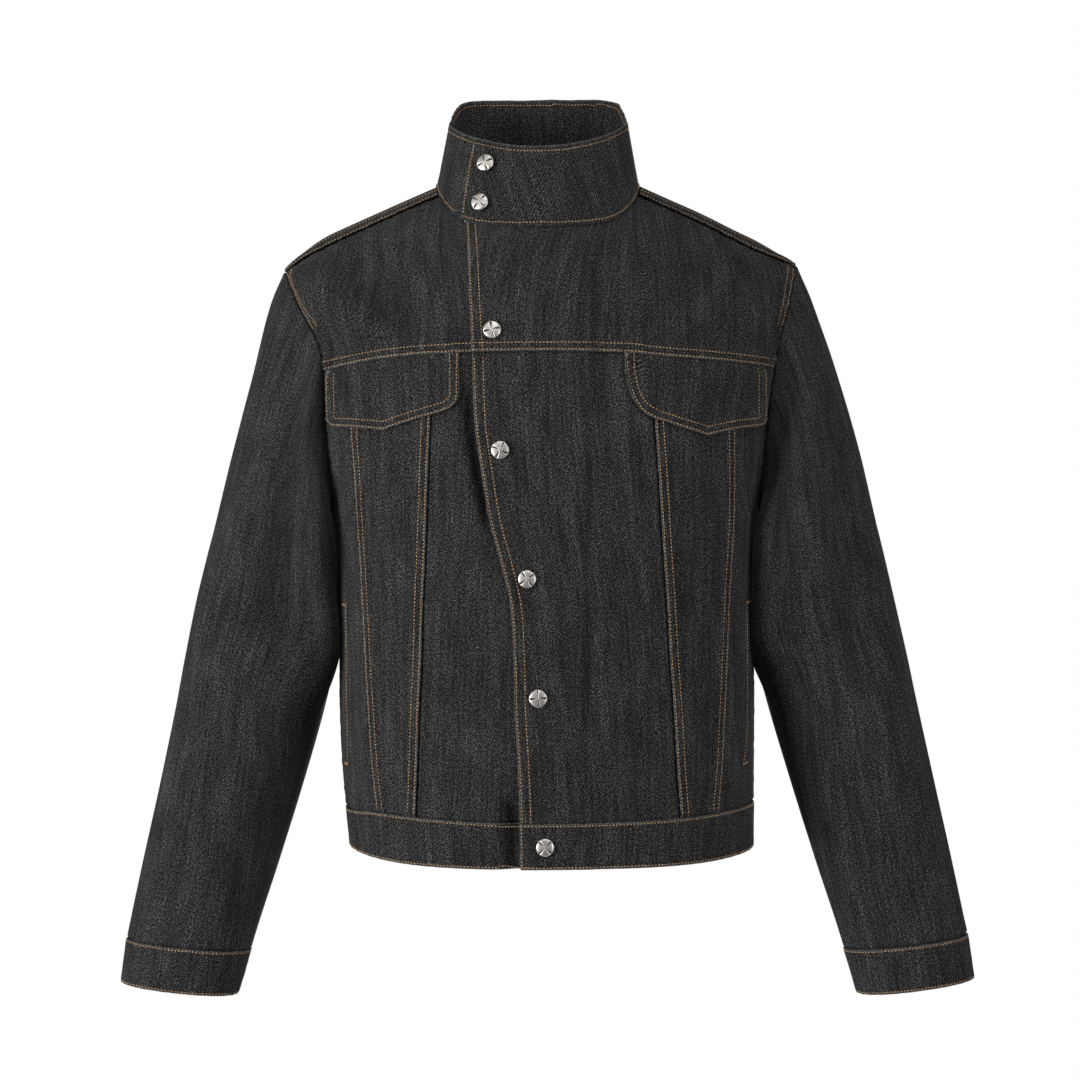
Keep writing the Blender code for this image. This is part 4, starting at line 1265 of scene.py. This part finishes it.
SLEEVE_FOLDS = {                                   # as seen from the front; then from behind
    (1, "front"): (
        Crease(0.2080, -0.175, 0.2000, -0.260, 0.0110, -0.0065),
        Crease(0.2010, -0.260, 0.2000, -0.340, 0.0110, -0.0065),
        Crease(0.2330, -0.270, 0.2420, -0.400, 0.0140, 0.0060),
        Crease(0.2470, -0.190, 0.2560, -0.330, 0.0150, -0.0030),
        Crease(0.2640, -0.260, 0.2720, -0.400, 0.0150, -0.0060),
        Crease(0.2800, -0.300, 0.3000, -0.460, 0.0150, 0.0020),
        Crease(0.2450, -0.440, 0.3000, -0.500, 0.0130, -0.0010),
        Crease(0.3100, -0.540, 0.3250, -0.640, 0.0120, -0.0014),
        Crease(0.2750, -0.560, 0.2850, -0.650, 0.0110, 0.0012),
    ),
    (1, "back"): (
        Crease(0.2200, -0.180, 0.2550, -0.330, 0.0140, -0.0032),
        Crease(0.2550, -0.380, 0.3050, -0.430, 0.0120, -0.0030),
        Crease(0.2500, -0.430, 0.3000, -0.470, 0.0110, -0.0026),
        Crease(0.2450, -0.250, 0.2700, -0.400, 0.0130, 0.0020),
        Crease(0.3000, -0.520, 0.3250, -0.640, 0.0130, -0.0018),
    ),
    (-1, "front"): (
        Crease(-0.2120, -0.120, -0.2090, -0.215, 0.0110, -0.0042),
        Crease(-0.2140, -0.230, -0.2190, -0.390, 0.0320, -0.0160),
        Crease(-0.1950, -0.240, -0.1940, -0.345, 0.0120, 0.0090),
        Crease(-0.2090, -0.330, -0.2160, -0.400, 0.0070, 0.0020),
        Crease(-0.2370, -0.130, -0.2560, -0.210, 0.0100, 0.0022),
        Crease(-0.2900, -0.330, -0.3050, -0.460, 0.0140, 0.0016),
        Crease(-0.2300, -0.430, -0.2800, -0.500, 0.0140, -0.0010),
        Crease(-0.3050, -0.520, -0.3300, -0.640, 0.0130, -0.0014),
        Crease(-0.2750, -0.540, -0.2950, -0.650, 0.0110, 0.0013),
    ),
    (-1, "back"): (
        Crease(-0.2150, -0.200, -0.2500, -0.320, 0.0150, -0.0034),
        Crease(-0.2500, -0.370, -0.3000, -0.425, 0.0120, -0.0030),
        Crease(-0.2550, -0.440, -0.3100, -0.475, 0.0110, -0.0024),
        Crease(-0.2600, -0.230, -0.2750, -0.380, 0.0130, 0.0018),
        Crease(-0.2950, -0.530, -0.3150, -0.640, 0.0130, -0.0018),
    ),
}


def sleeve_relief(side, seed):
    def relief(at):
        angle = tau * (0.5 - at.u) * side
        facing = sin(angle)
        folds = creases(SLEEVE_FOLDS[side, "front" if facing > 0 else "back"], at.x, at.z)
        folds *= ease(abs(facing) * 1.6)
        fullness = 0.0010 * (1 - ease((at.high - 0.004) / 0.02)) * sin(at.u * tau * 17 + seed)
        fullness *= bump(at.high, 0.02)
        ripple = puckers(at.u * 0.36, at.high, seed) + puckers(at.u * 0.3, at.low, seed + 1.2)
        return (0.55 * tucked(at.high) + 1.35 * tucked(at.low)
                + folds * ease(at.high / 0.03) * ease(at.low / 0.03) + fullness * 0.4 + ripple)
    return relief


def cuff_place(side):
    def place(u, v):
        angle = tau * (0.5 - u) * side
        upper, lower = sleeve_ring(angle, 1.0, side), sleeve_ring(angle, 1.065, side)
        centre = (sleeve_ring(0.0, 1.0, side) + sleeve_ring(pi, 1.0, side)) / 2
        down = 1 - v
        way = Vector((lower.x - upper.x, 0.0, lower.z - upper.z))
        point = upper + Vector((0.0, 0.0, -0.0006)) + way * down
        away = Vector((point.x - centre.x - way.x * down, point.y - centre.y, 0.0)).normalized()
        point += away * (0.0006 - 0.0016 * down)
        return Vector((point.x * side + read(SLEEVE_LINES, "lean", point.z), point.y, point.z))
    return place


def cuff_relief(seed):
    def relief(at):
        rise = folded_edge(at.low) + folded_edge(at.high)
        rise += puckers(at.u * 0.27, at.low, seed) + puckers(at.u * 0.27, at.high, seed + 2.0)
        ripple = sin(at.u * tau * 9 + seed) * sin(at.u * tau * 2.3)
        return rise + 0.0004 * ripple * swell(at.v)
    return relief


for side, word, seed in ((1, "left", 0.3), (-1, "right", 1.9)):
    place = sleeve_place(side)
    sleeve = lay_cloth("sleeve_cloth_" + word, [
        Patch(place, PLAIN, PLAIN, TUCKED, (-0.0070,) + TUCKED, 0.0036, sleeve_relief(side, seed))],
        CLOTH, grain=(0.37 * seed, 0.13 * seed), weld=True, folded=())
    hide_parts("sleeve_" + word)

    place = cuff_place(side)
    cuff = lay_cloth("cuff_band_" + word, [
        Patch(place, PLAIN, PLAIN, ONE_ROW, ONE_ROW, 0.0028, cuff_relief(seed))],
        DOUBLED, grain=(0.23 * seed, 0.41 * seed), weld=True, inner=0, folded=("low", "high"))
    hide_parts("cuff_" + word)
    cuff_thread = topstitch("cuff_topstitching_" + word, "cuff_band_" + word, [
        beside(place, "low", EDGE_ROW, count=160), beside(place, "high", EDGE_ROW, count=160)])


# ---------------------------------------------------------------- buttons
# Seven pressed metal caps, each on a shank through both layers: a plain low dome parted
# by four radial grooves, satin silver and dark in the grooves.

BUTTON_RADIUS, BUTTON_HEIGHT, GROOVE_DEPTH = 0.0077, 0.0036, 0.0009
Turn = namedtuple("Turn", "out up")                # shares of the radius and of the height
CAP_PROFILE = (
    Turn(0.00, 1.02), Turn(0.10, 1.01), Turn(0.20, 0.995), Turn(0.30, 0.975), Turn(0.42, 0.95),
    Turn(0.54, 0.92), Turn(0.66, 0.88), Turn(0.76, 0.84), Turn(0.84, 0.79), Turn(0.90, 0.73),
    Turn(0.95, 0.63), Turn(0.985, 0.50), Turn(1.00, 0.36), Turn(0.95, 0.16), Turn(0.80, 0.00),
    Turn(0.00, 0.00),
)

metal, tree, surface = finish_of("satin_silver")
sunk = node(tree, "ShaderNodeAttribute", attribute_name="groove").outputs["Fac"]
scuffs = speckle(tree, node(tree, "ShaderNodeTexCoord").outputs["Object"], 900.0, 3.0)
# Colour goes toward near black along the grooves and a little darker with scuffs.
groove_and_scuff_dark = sum_of(tree, 'MULTIPLY_ADD', scuffs, 0.25, sum_of(tree, 'MULTIPLY', sunk, 0.9))
plug(tree, surface, {
    "Base Color": blend(tree, groove_and_scuff_dark, (0.78, 0.74, 0.70, 1.0), (0.030, 0.027, 0.025, 1.0)),
    "Roughness": spread(tree, scuffs, 0.3, 0.7, 0.40, 0.55), "Metallic": 1.0})


def cap(name, node_name, seat, facing, turn):
    shape = bmesh.new()
    verts = [shape.verts.new((BUTTON_RADIUS * one.out, 0.0, BUTTON_HEIGHT * one.up)) for one in CAP_PROFILE]
    edges = [shape.edges.new(pair) for pair in zip(verts, verts[1:])]
    bmesh.ops.spin(shape, geom=verts + edges, cent=(0, 0, 0), axis=(0, 0, 1), angle=tau, steps=96,
                   use_merge=True)
    bmesh.ops.remove_doubles(shape, verts=shape.verts, dist=0.000001)
    groove = shape.verts.layers.float.new("groove")
    for vert in shape.verts:
        out = sqrt(vert.co.x ** 2 + vert.co.y ** 2) / BUTTON_RADIUS
        if vert.co.z < BUTTON_HEIGHT * 0.45 or out < 1e-6:
            continue
        around = Vector((vert.co.x, vert.co.y, 0.0)).angle(Vector((1.0, 0.0, 0.0)))
        flute = abs(cos(2 * around)) ** 30
        depth = flute * between(out, 0.12, 0.20, 0.86, 0.10)
        vert.co.z -= GROOVE_DEPTH * depth
        vert[groove] = min(1.0, 1.2 * depth)
    bmesh.ops.recalc_face_normals(shape, faces=shape.faces)
    turned = facing.to_track_quat('Z', 'Y').to_matrix().to_4x4() @ Matrix.Rotation(turn, 4, 'Z')
    bmesh.ops.transform(shape, matrix=Matrix.Translation(seat + facing * LAY) @ turned, verts=shape.verts)
    piece = made_of(name, shape, metal)
    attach(piece, "root")
    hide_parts(node_name)


for word, x, z, turn in FRONT_BUTTONS:
    if word == "band":
        seat = band_point(-band_turn(abs(x), 0.175), 0.5, DOUBLED + LAY)
        facing = Vector((0.0, -1.0, 0.0))
    else:
        seat = skin(x, z, CLOTH + LAY)
        facing = (skin(x, z, CLOTH + LAY + 0.01) - seat).normalized()
    cap("cap_" + word, "button_" + word, seat, facing, turn)
for word, degrees, rise, turn in (("collar_top", -30.3, 0.715, 0.4), ("collar_base", -30.0, 0.235, 0.9)):
    lift = collar_out(radians(degrees), rise)
    seat = collar_skin(radians(degrees), rise, lift)
    cap("cap_" + word, "button_" + word, seat,
        (collar_skin(radians(degrees), rise, lift + 0.01) - seat).normalized(), turn)


# ---------------------------------------------------------------- studio
# A plain pale floor far under the hem, soft light from both sides, above and behind,
# and the camera level with the chest.

FLOOR_HEIGHT, LIT_HEIGHT = -1.90, -0.33
floor_shape = bmesh.new()
bmesh.ops.create_circle(floor_shape, cap_ends=True, segments=96, radius=1.0)
bmesh.ops.translate(floor_shape, verts=floor_shape.verts, vec=(0.0, 0.0, FLOOR_HEIGHT))
pale, tree, surface = finish_of("pale_floor")
plug(tree, surface, {"Base Color": (0.86, 0.86, 0.86, 1.0), "Roughness": 0.9})
floor = made_of("studio_floor", floor_shape, pale)

world = bpy.data.worlds.new("white_room")
bpy.context.scene.world = world
world.use_nodes = True
room = world.node_tree
seen = node(room, "ShaderNodeLightPath").outputs["Is Camera Ray"]
plug(room, room.nodes["Background"], {"Color": (1.0, 1.0, 1.0, 1.0),
                                      "Strength": spread(room, seen, 0.0, 1.0, 0.03, 1.0)})

for name, place_at, width, energy in (
        ("key_softbox", (-2.9, -1.7, -0.4), 1.8, 122.0),
        ("fill_softbox", (2.7, -1.9, -0.3), 1.6, 50.0),
        ("overhead_softbox", (0.1, -1.6, 1.8), 1.8, 27.0),
        ("rear_softbox", (0.3, 3.2, 0.1), 1.8, 70.0)):
    light = bpy.data.lights.new(name, 'AREA')
    light.shape = 'SQUARE'
    light.size = width
    light.energy = energy
    lamp = bpy.data.objects.new(name, light)
    lamp.location = place_at
    aim = Vector((0.0, 0.0, LIT_HEIGHT)) - Vector(place_at)
    lamp.rotation_euler = aim.to_track_quat('-Z', 'Y').to_euler()
    bpy.context.scene.collection.objects.link(lamp)

camera_data = bpy.data.cameras.new("camera")
camera_data.lens = 98.48
camera_data.sensor_width = 36.0
camera = bpy.data.objects.new("camera", camera_data)
camera.location = (-0.0033, -2.6, -0.3098)
camera.rotation_euler = (radians(90.0), radians(0.75), 0.0)
bpy.context.scene.collection.objects.link(camera)
bpy.context.scene.camera = camera
bpy.context.scene.view_settings.view_transform = 'Standard'
